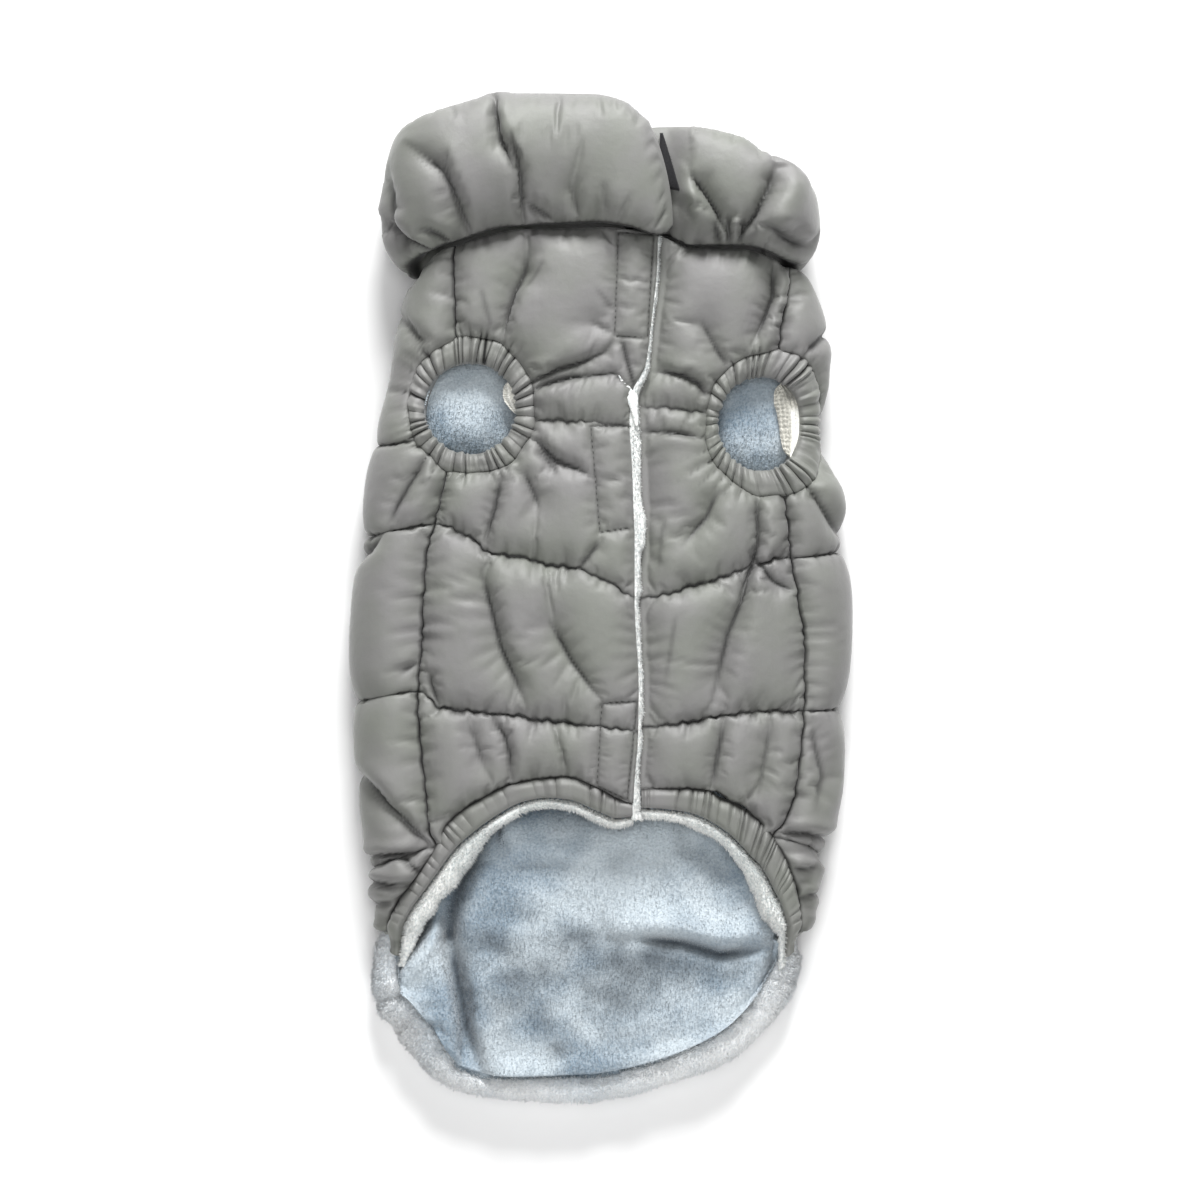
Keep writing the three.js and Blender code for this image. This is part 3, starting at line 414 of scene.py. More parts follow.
@dataclass(frozen=True)
class Crease:
    """A soft fold of the cloth along a line of plan points.

    Attributes:
        line: Points in x and y that the fold runs through.
        depth: How deep it is; less than nothing makes it a ridge.
        width: How wide it is.
        lip: Height of the swelling beside it as a share of its depth, on the line's left if positive.
        sharp: From 0, a rounded trough, to 1, a pinched one.
        core_width: Width of the painted shade line along its bottom.
    """

    line: tuple[tuple[float, float], ...]
    depth: float
    width: float
    lip: float = 0.45
    sharp: float = 0.4
    core_width: float = 1.0

    def relief(self, x: np.ndarray, y: np.ndarray) -> tuple[np.ndarray, np.ndarray]:
        """Work out the fold's height and core at each point.

        The distance to the line gives a trough, a mix of a bell and a pinched e to the minus distance,
        and a wider bell beside it. Both fade to nothing at the line's ends. The core is a bell of
        distance, 1 on the line of a deep fold, and is where the fold's painted shade goes.

        Args:
            x: First coordinate.
            y: Second coordinate.

        Returns:
            Heights, below zero in the trough, and the core.
        """
        points = np.asarray(self.line, float)
        height = np.zeros(np.broadcast(x, y).shape)
        core = np.zeros(height.shape)
        reach = 4 * self.width
        near = (x > points[:, 0].min() - reach) & (x < points[:, 0].max() + reach)
        near &= (y > points[:, 1].min() - reach) & (y < points[:, 1].max() + reach)
        if not near.any():
            return height, core
        px, py = x[near], y[near]
        runs = np.diff(points, axis=0)
        lengths = np.hypot(runs[:, 0], runs[:, 1])
        starts = np.concatenate([[0.0], np.cumsum(lengths)])
        best = np.full(px.shape, np.inf)
        signed = np.zeros(px.shape)
        share = np.zeros(px.shape)
        for start, run, length, before in zip(points[:-1], runs, lengths, starts[:-1]):
            along = np.clip(((px - start[0]) * run[0] + (py - start[1]) * run[1]) / length**2, 0, 1)
            dx, dy = px - start[0] - along * run[0], py - start[1] - along * run[1]
            away = np.hypot(dx, dy)
            closer = away < best
            best = np.where(closer, away, best)
            signed = np.where(closer, np.where(run[0] * dy - run[1] * dx > 0, away, -away), signed)
            share = np.where(closer, (before + along * length) / starts[-1], share)
        fade = smooth((share + 0.12) / 0.35) * smooth((1.12 - share) / 0.45)
        thin = self.width * (0.4 + 0.35 * fade)
        trough = mix(np.exp(-((best / thin) ** 2)), np.exp(-best / (0.7 * thin)), self.sharp)
        beside = bump(signed - math.copysign(1.9, self.lip) * self.width, 1.3 * self.width)
        height[near] = 1.15 * self.depth * fade * (abs(self.lip) * beside - trough)
        core[near] = bump(best, 1.2 * self.core_width) * fade * smooth((self.depth - 0.7) / 1.7)
        return height, core


def creases(x: np.ndarray, y: np.ndarray, folds: tuple[Crease, ...]) -> tuple[np.ndarray, np.ndarray]:
    """Add up the folds' heights and keep the strongest core at each point."""
    x, y = np.broadcast_arrays(x, y)
    height, core = np.zeros(x.shape), np.zeros(x.shape)
    for fold in folds:
        rise, line = fold.relief(x, y)
        height += rise
        core = np.maximum(core, line)
    return height, core


def pad(d: np.ndarray, reach: float) -> np.ndarray:
    """Stuffed profile beside a seam: a quarter circle from 0 at the seam to 1 at its reach."""
    t = 1 - np.clip(d / reach, 0.0, 1.0)
    return np.sqrt(np.maximum(1 - t * t, 0.0))


def pucker(s: np.ndarray, d: np.ndarray, strength: float, seed: int, pitch: float = 5.0) -> np.ndarray:
    """Small gathers that run away from a seam.

    Two random lines along the seam, a fine one that dies out soon and a coarse one that reaches further.

    Args:
        s: Distance along the seam.
        d: Distance from it.
        strength: Height of the gathers.
        seed: Picks the gathers.
        pitch: Spacing of the fine ones.

    Returns:
        Heights.
    """
    fine = wander(s + 0.35 * d * wander(s, 4 * pitch, seed + 7), pitch, seed) * np.exp(-d / 5.0)
    coarse = wander(s, 2.7 * pitch, seed + 1) * np.exp(-d / 14.0) * smooth(d / 3)
    return strength * (fine + 1.1 * coarse)


def pinches(s: np.ndarray, d: np.ndarray, seed: int, pitch: float = 2.7) -> np.ndarray:
    """Thin folds that start in a seam's stitches and soon run out.

    They stand where a random line along the seam is high, lean to one side or the other, and fade as e
    to the minus distance, over a reach that wanders too.

    Args:
        s: Distance along the seam.
        d: Distance from it.
        seed: Picks the folds.
        pitch: Spacing of the random line's values.

    Returns:
        Depth of the folds, from 0 to 1.
    """
    lean = s + 0.45 * d * wander(s, 13.0, seed + 3)
    reach = 3.6 + 2.6 * wander(s, 5.1, seed + 4)
    return smooth((wander(lean, pitch, seed) - 0.25) * 2.2) * np.exp(-d / reach) * smooth(d / 0.5 + 0.4)


def ends_first(count: int, crowd: float = 0.5) -> np.ndarray:
    """Return shares from 0 to 1 that lie closer together at both ends."""
    t = np.linspace(0.0, 1.0, count + 1)
    return mix(t, 0.5 - 0.5 * np.cos(np.pi * t), crowd)


def grid_quads(rows: int, columns: int, is_tube: bool = False) -> np.ndarray:
    """Return the vertex numbers of each face of a grid, closed across its columns if it is a tube."""
    number = np.arange(rows * columns).reshape(rows, columns)
    if is_tube:
        number = np.concatenate([number, number[:, :1]], axis=1)
    corners = [number[:-1, :-1], number[:-1, 1:], number[1:, 1:], number[1:, :-1]]
    return np.stack(corners, axis=-1).reshape(-1, 4)


def grid_normals(points: np.ndarray, outward: np.ndarray) -> np.ndarray:
    """Return each grid point's unit normal, on the side that the outward direction picks."""
    normal = np.cross(np.gradient(points, axis=1), np.gradient(points, axis=0))
    normal /= np.maximum(np.linalg.norm(normal, axis=-1, keepdims=True), 1e-9)
    return normal * np.sign((normal * outward).sum(axis=-1, keepdims=True) + 1e-12)


def facing_out(quads: np.ndarray, points: np.ndarray, outward: np.ndarray) -> np.ndarray:
    """Return the faces, all turned over if most of them face against the outward directions."""
    a, b, d = (points[quads[:, k]] for k in (0, 1, 3))
    return quads[:, ::-1] if (np.cross(b - a, d - a) * outward[quads[:, 0]]).sum() < 0 else quads


def section_turns(sides: int) -> np.ndarray:
    """Return the angles of a round section's points, as one row."""
    return (np.arange(sides)[None] + 0.5) / sides * 2 * np.pi


def blur(values: np.ndarray, passes: int) -> np.ndarray:
    """Average each value with its neighbours along the first two axes, a number of times."""
    for _ in range(passes):
        for axis in (0, 1):
            ahead = np.take(values, np.r_[1 : values.shape[axis], values.shape[axis] - 1], axis)
            behind = np.take(values, np.r_[0, 0 : values.shape[axis] - 1], axis)
            values = (ahead + 2 * values + behind) / 4
    return values


@dataclass(frozen=True)
class Settling:
    """Cloth simulation of spare shell cloth that the filling presses out between its seams.

    The cloth is cut larger than the surface that it covers. Its seams are held, so that the spare cloth
    buckles into gathers beside them, and pressure rounds the middle of each quilted chamber.

    Attributes:
        growth: Share by which the cloth is larger.
        pressure: Pressure of the filling.
        bending: Stiffness against bending.
        frames: Steps of the simulation.
        scale: Metres in the simulation for each millimetre of the coat.
    """

    growth: float = 0.055
    pressure: float = 60.0
    bending: float = 15.0
    frames: int = 14
    scale: float = 0.01

    def move(self, points: np.ndarray, quads: np.ndarray, held: np.ndarray) -> np.ndarray:
        """Run the simulation and return how far each point moves.

        Args:
            points: Starting points.
            quads: Faces, with their outer side first.
            held: 1 where a point stays, 0 where it is free.

        Returns:
            Movements, of the points' shape.
        """
        flat = points.reshape(-1, 3)
        moved = np.zeros(flat.shape)
        used, faces = np.unique(quads, return_inverse=True)
        stays = held.ravel()[used] > 0.5
        start = flat[used] + np.random.default_rng(5).normal(0, 0.05, (len(used), 3)) * ~stays[:, None]
        mesh = bpy.data.meshes.new("settling")
        mesh.from_pydata((start * self.scale).tolist(), [], faces.reshape(-1, 4).tolist())
        obj = bpy.data.objects.new("settling", mesh)
        bpy.context.collection.objects.link(obj)
        obj.vertex_groups.new(name="held").add(np.flatnonzero(stays).tolist(), 1.0, "REPLACE")
        self.dress(obj.modifiers.new("cloth", "CLOTH"))
        for frame in range(1, self.frames + 1):
            bpy.context.scene.frame_set(frame)
        made = obj.evaluated_get(bpy.context.evaluated_depsgraph_get()).to_mesh()
        ends = np.empty(start.size, np.float32)
        made.vertices.foreach_get("co", ends)
        moved[used] = ends.reshape(-1, 3) / self.scale - start
        bpy.data.objects.remove(obj)
        bpy.data.meshes.remove(mesh)
        bpy.context.scene.frame_set(1)
        return moved.reshape(points.shape)

    def dress(self, cloth: bpy.types.ClothModifier) -> None:
        """Set the simulation up on its modifier."""
        settings = cloth.settings
        settings.quality = 6
        settings.mass = 0.01
        settings.tension_stiffness = settings.compression_stiffness = 15.0
        settings.shear_stiffness = 5.0
        settings.bending_stiffness = self.bending
        settings.tension_damping = settings.compression_damping = settings.shear_damping = 1.0
        settings.vertex_group_mass = "held"
        settings.use_pressure = True
        settings.uniform_pressure_force = self.pressure
        settings.shrink_min = -self.growth
        settings.effector_weights.gravity = 0.0
        cloth.collision_settings.use_collision = False
        cloth.point_cache.frame_end = self.frames

    def settle(
        self, points: np.ndarray, outward: np.ndarray, quads: np.ndarray, held: np.ndarray, most: float
    ) -> np.ndarray:
        """Settle a grid of points and keep its swelling within bounds.

        The movement along the outward direction is split by blurring into the swelling of a chamber and
        the finer gathers. The swelling s is kept under the most that it may be, m, as m s over (m + s).

        Args:
            points: Starting points, rows by columns by 3.
            outward: Outward direction at each point.
            quads: Faces.
            held: 1 where a point stays.
            most: Most that the middle of a chamber may swell.

        Returns:
            The settled points.
        """
        quads = facing_out(quads, points.reshape(-1, 3), outward.reshape(-1, 3))
        moved = self.move(points, quads, held)
        up = (moved * outward).sum(axis=-1)
        swell = np.maximum(blur(up, 14), 0.0)
        return points + moved - outward * (swell - most * swell / (most + swell))[..., None]


@dataclass
class Surface:
    """A mesh being put together.

    Attributes:
        points: Vertices.
        quads: Vertex numbers of each face, four of them, or three on tufts.
        slots: Material number of each face.
        painted_shading_and_tone: For each vertex, its share of painted shade, 1 deep in a seam or fold and 0
            on open cloth. Below 0 it is painted light on the lining and the facing's own pale pile; on the
            placket's fleece it is a random darker tone.
    """

    points: np.ndarray
    quads: np.ndarray
    slots: np.ndarray
    painted_shading_and_tone: np.ndarray

    def make(
        self, name: str, materials: list[bpy.types.Material], node: str | None = None
    ) -> bpy.types.Object:
        """Put the surface into a new object on the root body.

        Args:
            name: Name of the object.
            materials: One for each slot number.
            node: Solid that the object stands for.

        Returns:
            The object.
        """
        mesh = bpy.data.meshes.new(name)
        mesh.vertices.add(len(self.points))
        mesh.vertices.foreach_set("co", (self.points * MM).astype(np.float32).ravel())
        mesh.loops.add(self.quads.size)
        mesh.loops.foreach_set("vertex_index", self.quads.astype(np.int32).ravel())
        mesh.polygons.add(len(self.quads))
        sides = self.quads.shape[1]
        mesh.polygons.foreach_set("loop_start", np.arange(0, self.quads.size, sides, dtype=np.int32))
        mesh.polygons.foreach_set("material_index", self.slots.astype(np.int32))
        mesh.polygons.foreach_set("use_smooth", np.ones(len(self.quads), bool))
        mesh.update(calc_edges=True)
        # Painted shade and painted light reach the materials through this attribute.
        painted_shading_and_tone = mesh.attributes.new("painted_shading_and_tone", "FLOAT", "POINT")
        painted_shading_and_tone.data.foreach_set("value", self.painted_shading_and_tone.astype(np.float32))
        for material in materials:
            mesh.materials.append(material)
        obj = bpy.data.objects.new(name, mesh)
        bpy.context.collection.objects.link(obj)
        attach(obj, "root")
        if node:
            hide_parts(node)
        log.info("%s: %d faces", name, len(self.quads))
        return obj


def wall(
    outer: np.ndarray, inner: np.ndarray, painted_shading_and_tone: np.ndarray | None = None, cut: np.ndarray | None = None
) -> Surface:
    """Join two grids of the same shape round their free edges into one closed wall.

    Args:
        outer: Outer points, rows by columns by 3.
        inner: Inner points of the same shape.
        painted_shading_and_tone: Share of painted shade of each outer point.
        cut: True for each grid face to leave out.

    Returns:
        The wall, with slot 0 outside and on its edges and slot 1 inside.
    """
    rows, columns = outer.shape[:2]
    count = rows * columns
    quads = grid_quads(rows, columns)
    if cut is not None:
        quads = quads[~cut.ravel()]
    flat, under = outer.reshape(-1, 3), inner.reshape(-1, 3)
    quads = facing_out(quads, flat, flat - under)
    start, end = quads.ravel(), np.roll(quads, -1, axis=1).ravel()
    free = ~np.isin(start * count + end, end * count + start)
    rim = np.stack([end[free], start[free], start[free] + count, end[free] + count], axis=-1)
    faces = np.concatenate([quads, quads[:, ::-1] + count, rim])
    slots = np.repeat([0, 1, 0], [len(quads), len(quads), len(rim)])
    depth = np.zeros(count) if painted_shading_and_tone is None else painted_shading_and_tone.ravel()
    used, faces = np.unique(faces, return_inverse=True)
    points = np.concatenate([flat, under])[used]
    return Surface(points, faces.reshape(-1, 4), slots, np.concatenate([depth, 0 * depth])[used])


def sweep(rings: np.ndarray, is_loop: bool, painted_shading_and_tone: np.ndarray | None = None) -> Surface:
    """Join rings of points into a closed skin, end to end or with a flat cap at each end.

    Args:
        rings: Points, rings by sides by 3.
        is_loop: Whether the last ring meets the first one.
        painted_shading_and_tone: Share of painted shade of each point.

    Returns:
        The skin, with slot 0 all over.
    """
    count, sides = rings.shape[:2]
    number = np.arange(count * sides).reshape(count, sides)
    ahead = np.roll(number, -1, axis=0)
    beside = np.roll(number, -1, axis=1)
    both = np.roll(ahead, -1, axis=1)
    quads = np.stack([number, ahead, both, beside], axis=-1)
    quads = quads.reshape(-1, 4) if is_loop else quads[:-1].reshape(-1, 4)
    points = rings.reshape(-1, 3)
    if not is_loop:
        half = sides // 2
        near = np.arange(half - 1)
        for ring, way in ((0, 1), (count - 1, -1)):
            row = number[ring]
            cap = np.stack([row[near], row[near + 1], row[sides - 2 - near], row[sides - 1 - near]], axis=-1)
            quads = np.concatenate([quads, cap[:, ::way]])
    a, b, c, d = (points[quads[:, k]] for k in range(4))
    volume = (a * np.cross(b, c)).sum() + (a * np.cross(c, d)).sum()
    if volume < 0:
        quads = quads[:, ::-1]
    depth = np.zeros(len(points)) if painted_shading_and_tone is None else painted_shading_and_tone.ravel()
    return Surface(points, quads, np.zeros(len(quads), int), depth)


def plush(points: np.ndarray, normals: np.ndarray, length: float, width: float, seed: int) -> Surface:
    """Stand a tapering tuft on each point.

    A tuft is a three-sided spike of the given width, turned at random. It leans the way the pile is
    brushed, which changes slowly over the cloth, and a little at random, and its length is random.

    Args:
        points: Roots.
        normals: Direction of the pile at each root.
        length: Mean length.
        width: Width at the root.
        seed: Picks the turns and leans.

    Returns:
        The tufts as one surface of triangles.
    """
    rng = np.random.default_rng(seed)
    count = len(points)
    lean = rng.normal(0.0, 0.2, (count, 3))
    brush = 1.5 * mottle(points[:, 0], points[:, 1], 31.0, seed + 1) - 1.4
    way = normals + lean + 0.6 * np.stack([np.cos(brush), np.sin(brush), 0 * brush], axis=-1)
    way /= np.linalg.norm(way, axis=1, keepdims=True)
    side = np.cross(way, rng.normal(size=(count, 3)))
    side /= np.linalg.norm(side, axis=1, keepdims=True)
    other = np.cross(way, side)
    reach = length * rng.uniform(0.6, 1.25, (count, 1))
    root = points - normals * 0.5
    corners = [
        root + (side * math.cos(angle) + other * math.sin(angle)) * width
        for angle in (0.0, 2 * math.pi / 3, 4 * math.pi / 3)
    ]
    corners.append(root + way * reach)
    verts = np.stack(corners, axis=1).reshape(-1, 3)
    faces = (np.arange(count)[:, None, None] * 4 + np.array([[0, 1, 3], [1, 2, 3], [2, 0, 3]])).reshape(-1, 3)
    return Surface(verts, faces, np.zeros(len(faces), int), np.zeros(len(verts)))


def edge_pile(
    points: np.ndarray, shown: np.ndarray, length: float, width: float, seeds: tuple[int, int]
) -> tuple[Surface, np.ndarray]:
    """Stand 6000 tufts on the side that shows of a rounded edge, away from the middle of its sections.

    Args:
        points: The edge's points, sections by sides by 3.
        shown: True for each point that tufts may stand on.
        length: Mean length of a tuft.
        width: Width at its root.
        seeds: The first picks the roots and the second the turns and leans.

    Returns:
        The tufts, and the number of the point that each stands on.
    """
    rng = np.random.default_rng(seeds[0])
    pick = rng.choice(np.flatnonzero(np.broadcast_to(shown, points.shape[:2]).ravel()), 6000)
    normal = (points - points.mean(axis=1, keepdims=True)).reshape(-1, 3)[pick]
    normal /= np.maximum(np.linalg.norm(normal, axis=1, keepdims=True), 1e-9)
    roots = points.reshape(-1, 3)[pick] + rng.normal(0, 0.3, (len(pick), 3))
    return plush(roots, normal, length, width, seeds[1]), pick


class NodeBoard:
    """A material's node tree, with short calls to add and join nodes."""

    def __init__(self, name: str) -> None:
        """Start a material with a bare Principled shader."""
        self.material = bpy.data.materials.new(name)
        self.material.use_nodes = True
        self.tree = self.material.node_tree
        self.shader = self.tree.nodes["Principled BSDF"]
        self.coordinates = self.add("ShaderNodeTexCoord").outputs["Object"]

    def add(self, kind: str, **sockets: object) -> bpy.types.Node:
        """Add a node; each keyword sets or links the input of that name, with _ for a space."""
        node = self.tree.nodes.new(kind)
        for name, value in sockets.items():
            self.set(node, name.replace("_", " "), value)
        return node

    def set(self, node: bpy.types.Node, name: str, value: object) -> None:
        """Set an input to a number or colour, or link an output to it."""
        if isinstance(value, bpy.types.NodeSocket):
            self.tree.links.new(value, node.inputs[name])
        else:
            node.inputs[name].default_value = value

    def ramp(
        self, factor: bpy.types.NodeSocket, stops: tuple[tuple[float, tuple[float, float, float]], ...]
    ) -> bpy.types.NodeSocket:
        """Return colours picked by a factor, between stops of place and colour."""
        node = self.add("ShaderNodeValToRGB", Fac=factor)
        ramp = node.color_ramp
        while len(ramp.elements) < len(stops):
            ramp.elements.new(0.5)
        for element, (place, colour) in zip(ramp.elements, stops):
            element.position = place
            element.color = (*colour, 1.0)
        return node.outputs["Color"]

    def noise(self, scale: float, detail: float = 3.0) -> bpy.types.NodeSocket:
        """Return random patches of 1 over the scale in metres."""
        node = self.add("ShaderNodeTexNoise", Vector=self.coordinates, Scale=scale, Detail=detail)
        return node.outputs["Fac"]

    def blend(
        self, factor: object, first: object, second: object, kind: str = "MIX"
    ) -> bpy.types.NodeSocket:
        """Return two colours blended by a factor."""
        node = self.tree.nodes.new("ShaderNodeMix")
        node.data_type = "RGBA"
        node.blend_type = kind
        self.set(node, "Factor", factor)
        for socket, value in ((node.inputs[6], first), (node.inputs[7], second)):
            if isinstance(value, bpy.types.NodeSocket):
                self.tree.links.new(value, socket)
            else:
                socket.default_value = (*value, 1.0)
        return node.outputs[2]

    def bump(
        self, height: bpy.types.NodeSocket, strength: float, distance: float, below: object = None
    ) -> bpy.types.NodeSocket:
        """Return a surface roughened by a height in metres, over another one if given."""
        node = self.add("ShaderNodeBump", Height=height, Strength=strength, Distance=distance)
        if below is not None:
            self.set(node, "Normal", below)
        return node.outputs["Normal"]


def srgb(red: int, green: int, blue: int) -> tuple[float, float, float]:
    """Turn a colour of 0 to 255 steps into linear light."""
    steps = np.array([red, green, blue]) / 255
    light = np.where(steps <= 0.04045, steps / 12.92, ((steps + 0.055) / 1.055) ** 2.4)
    return tuple(float(v) for v in light)


@dataclass(frozen=True)
class Nylon:
    """Tightly woven shell cloth with a soft sheen.

    Attributes:
        name: Name of the material.
        colour: Colour of open cloth.
        shade: Colour of the painted shade deep in seams, folds and pleat valleys.
    """

    name: str
    colour: tuple[float, float, float]
    shade: tuple[float, float, float]

    def material(self) -> bpy.types.Material:
        """Build the material: two tones of grey, painted shade in seams and folds, a fine weave and a soft
        sheen.
        """
        board = NodeBoard(self.name)
        violet = (self.colour[0] * 1.05, self.colour[1] * 1.02, self.colour[2] * 1.06)
        olive = (self.colour[0] * 0.98, self.colour[1] * 1.0, self.colour[2] * 0.95)
        patches = board.ramp(board.noise(26.0), ((0.36, olive), (0.62, violet)))
        # Painted shade: blend towards the shade colour by the mesh's painted shade share.
        painted_shading_and_tone = board.add("ShaderNodeAttribute")
        painted_shading_and_tone.attribute_name = "painted_shading_and_tone"
        colour = board.blend(painted_shading_and_tone.outputs["Fac"], patches, self.shade)
        rough = board.add("ShaderNodeMapRange", Value=board.noise(90.0), To_Min=0.42, To_Max=0.56)
        board.set(board.shader, "Roughness", rough.outputs["Result"])
        board.set(board.shader, "Specular IOR Level", 0.5)
        board.set(board.shader, "Sheen Weight", 0.22)
        board.set(board.shader, "Sheen Roughness", 0.35)
        normal = None
        for turn in (0.0, math.pi / 2):
            turned = board.add("ShaderNodeMapping", Vector=board.coordinates, Rotation=(0.0, 0.0, turn))
            wave = board.add("ShaderNodeTexWave", Vector=turned.outputs["Vector"], Scale=620.0, Distortion=2.5)
            streak = board.ramp(wave.outputs["Fac"], ((0.0, (0.93, 0.93, 0.93)), (1.0, (1.05, 1.05, 1.05))))
            colour = board.blend(1.0, colour, streak, "MULTIPLY")
            normal = board.bump(wave.outputs["Fac"], 0.3, 0.0001, normal)
        board.set(board.shader, "Base Color", colour)
        normal = board.bump(board.noise(230.0), 0.5, 0.0004, normal)
        board.set(board.shader, "Normal", normal)
        return board.material


@dataclass(frozen=True)
class Fleece:
    """Knitted plush.

    Attributes:
        name: Name of the material.
        light: Colour of the pile's tips.
        dark: Colour between the tufts.
        pale: Colour laid where the share is below 0: painted light on the lining, the facing's own pale pile.
        even: Share of the brushed patches in its colour, the rest being fibre speckle.
    """

    name: str
    light: tuple[float, float, float]
    dark: tuple[float, float, float]
    pale: tuple[float, float, float]
    even: float

    def material(self) -> bpy.types.Material:
        """Build the material: brushed patches over a fine fibre speckle, with painted shade and painted light
        from the mesh's shading share, and a velvety edge.
        """
        board = NodeBoard(self.name)
        fibre = board.ramp(board.noise(900.0, 4.0), ((0.36, self.dark), (0.6, self.light)))
        patches = board.ramp(board.noise(24.0, 2.0), ((0.38, self.dark), (0.58, self.light)))
        painted_shading_and_tone = board.add("ShaderNodeAttribute")
        painted_shading_and_tone.attribute_name = "painted_shading_and_tone"
        # Painted shade: a dark copy of the pile where the share is above 0, on the placket's fleece a random
        # darker tone. Painted light: the pale colour where it is below 0, on the facing its own pale pile.
        deep = tuple(v * 0.24 for v in self.dark)
        colour = board.blend(painted_shading_and_tone.outputs["Fac"], board.blend(self.even, fibre, patches), deep)
        painted_light_share = board.add("ShaderNodeMapRange", Value=painted_shading_and_tone.outputs["Fac"], From_Min=0.0, From_Max=-1.0)
        board.set(board.shader, "Base Color", board.blend(painted_light_share.outputs["Result"], colour, self.pale))
        board.set(board.shader, "Roughness", 0.95)
        board.set(board.shader, "Specular IOR Level", 0.15)
        board.set(board.shader, "Sheen Weight", 0.5)
        board.set(board.shader, "Sheen Roughness", 0.6)
        normal = board.bump(board.noise(500.0, 4.0), 0.8, 0.001)
        board.set(board.shader, "Normal", board.bump(board.noise(1500.0), 0.5, 0.0004, normal))
        return board.material


@dataclass(frozen=True)
class Trim:
    """Plain matt finish for thread and hook tape.

    Attributes:
        name: Name of the material.
        colour: Its colour.
        roughness: Its roughness.
        grain: Patches to the metre of its speckle.
    """

    name: str
    colour: tuple[float, float, float]
    roughness: float
    grain: float

    def material(self) -> bpy.types.Material:
        """Build the material: a speckle of the colour and a fine bump."""
        board = NodeBoard(self.name)
        darker = tuple(v * 0.7 for v in self.colour)
        speckle = board.ramp(board.noise(self.grain), ((0.35, darker), (0.65, self.colour)))
        board.set(board.shader, "Base Color", speckle)
        board.set(board.shader, "Roughness", self.roughness)
        board.set(board.shader, "Specular IOR Level", 0.3)
        board.set(board.shader, "Normal", board.bump(board.noise(self.grain), 0.5, 0.0003))
        return board.material


# The shell's second colour is its painted shade.
SHELL = Nylon("shell_nylon", srgb(122, 123, 120), srgb(19, 19, 18))
# Colour of the painted light on the lining's plush, and of the pale pile on the leg holes' facing.
CREAM = srgb(252, 252, 247)
PLUSH = Fleece("lining_fleece", srgb(197, 207, 213), srgb(120, 138, 153), CREAM, 0.68)
# The roll is the lining's plush in a paler copy: its lighter pile tips, and painted light for the brightly lit
# roll.
ROLLED = Fleece("rolled_fleece", srgb(254, 255, 255), srgb(212, 220, 226), CREAM, 0.5)
EDGING = Fleece("edge_fleece", srgb(252, 252, 249), srgb(200, 208, 208), CREAM, 0.25)
FACING = Fleece("facing_knit", srgb(222, 220, 210), srgb(158, 157, 148), CREAM, 0.25)
THREAD = Trim("sewing_thread", srgb(84, 85, 82), 0.6, 900.0)
HOOKS = Trim("hook_tape", srgb(46, 46, 48), 0.8, 1200.0)


@dataclass(frozen=True)
class Finishes:
    """The coat's materials, one of each."""

    shell: bpy.types.Material
    plush: bpy.types.Material
    rolled: bpy.types.Material
    edging: bpy.types.Material
    facing: bpy.types.Material
    thread: bpy.types.Material
    hooks: bpy.types.Material

    @staticmethod
    def build() -> "Finishes":
        """Build every finish."""
        looks = (SHELL, PLUSH, ROLLED, EDGING, FACING, THREAD, HOOKS)
        return Finishes(*(look.material() for look in looks))


def round_hole(angle: np.ndarray) -> tuple[np.ndarray, np.ndarray]:
    """Return an angle in turns from 0 to 1, and a fade to nothing where a turn ends and starts again."""
    turns = np.mod(angle / (2 * np.pi), 1.0)
    return turns, smooth(turns / 0.06) * smooth((1 - turns) / 0.06)


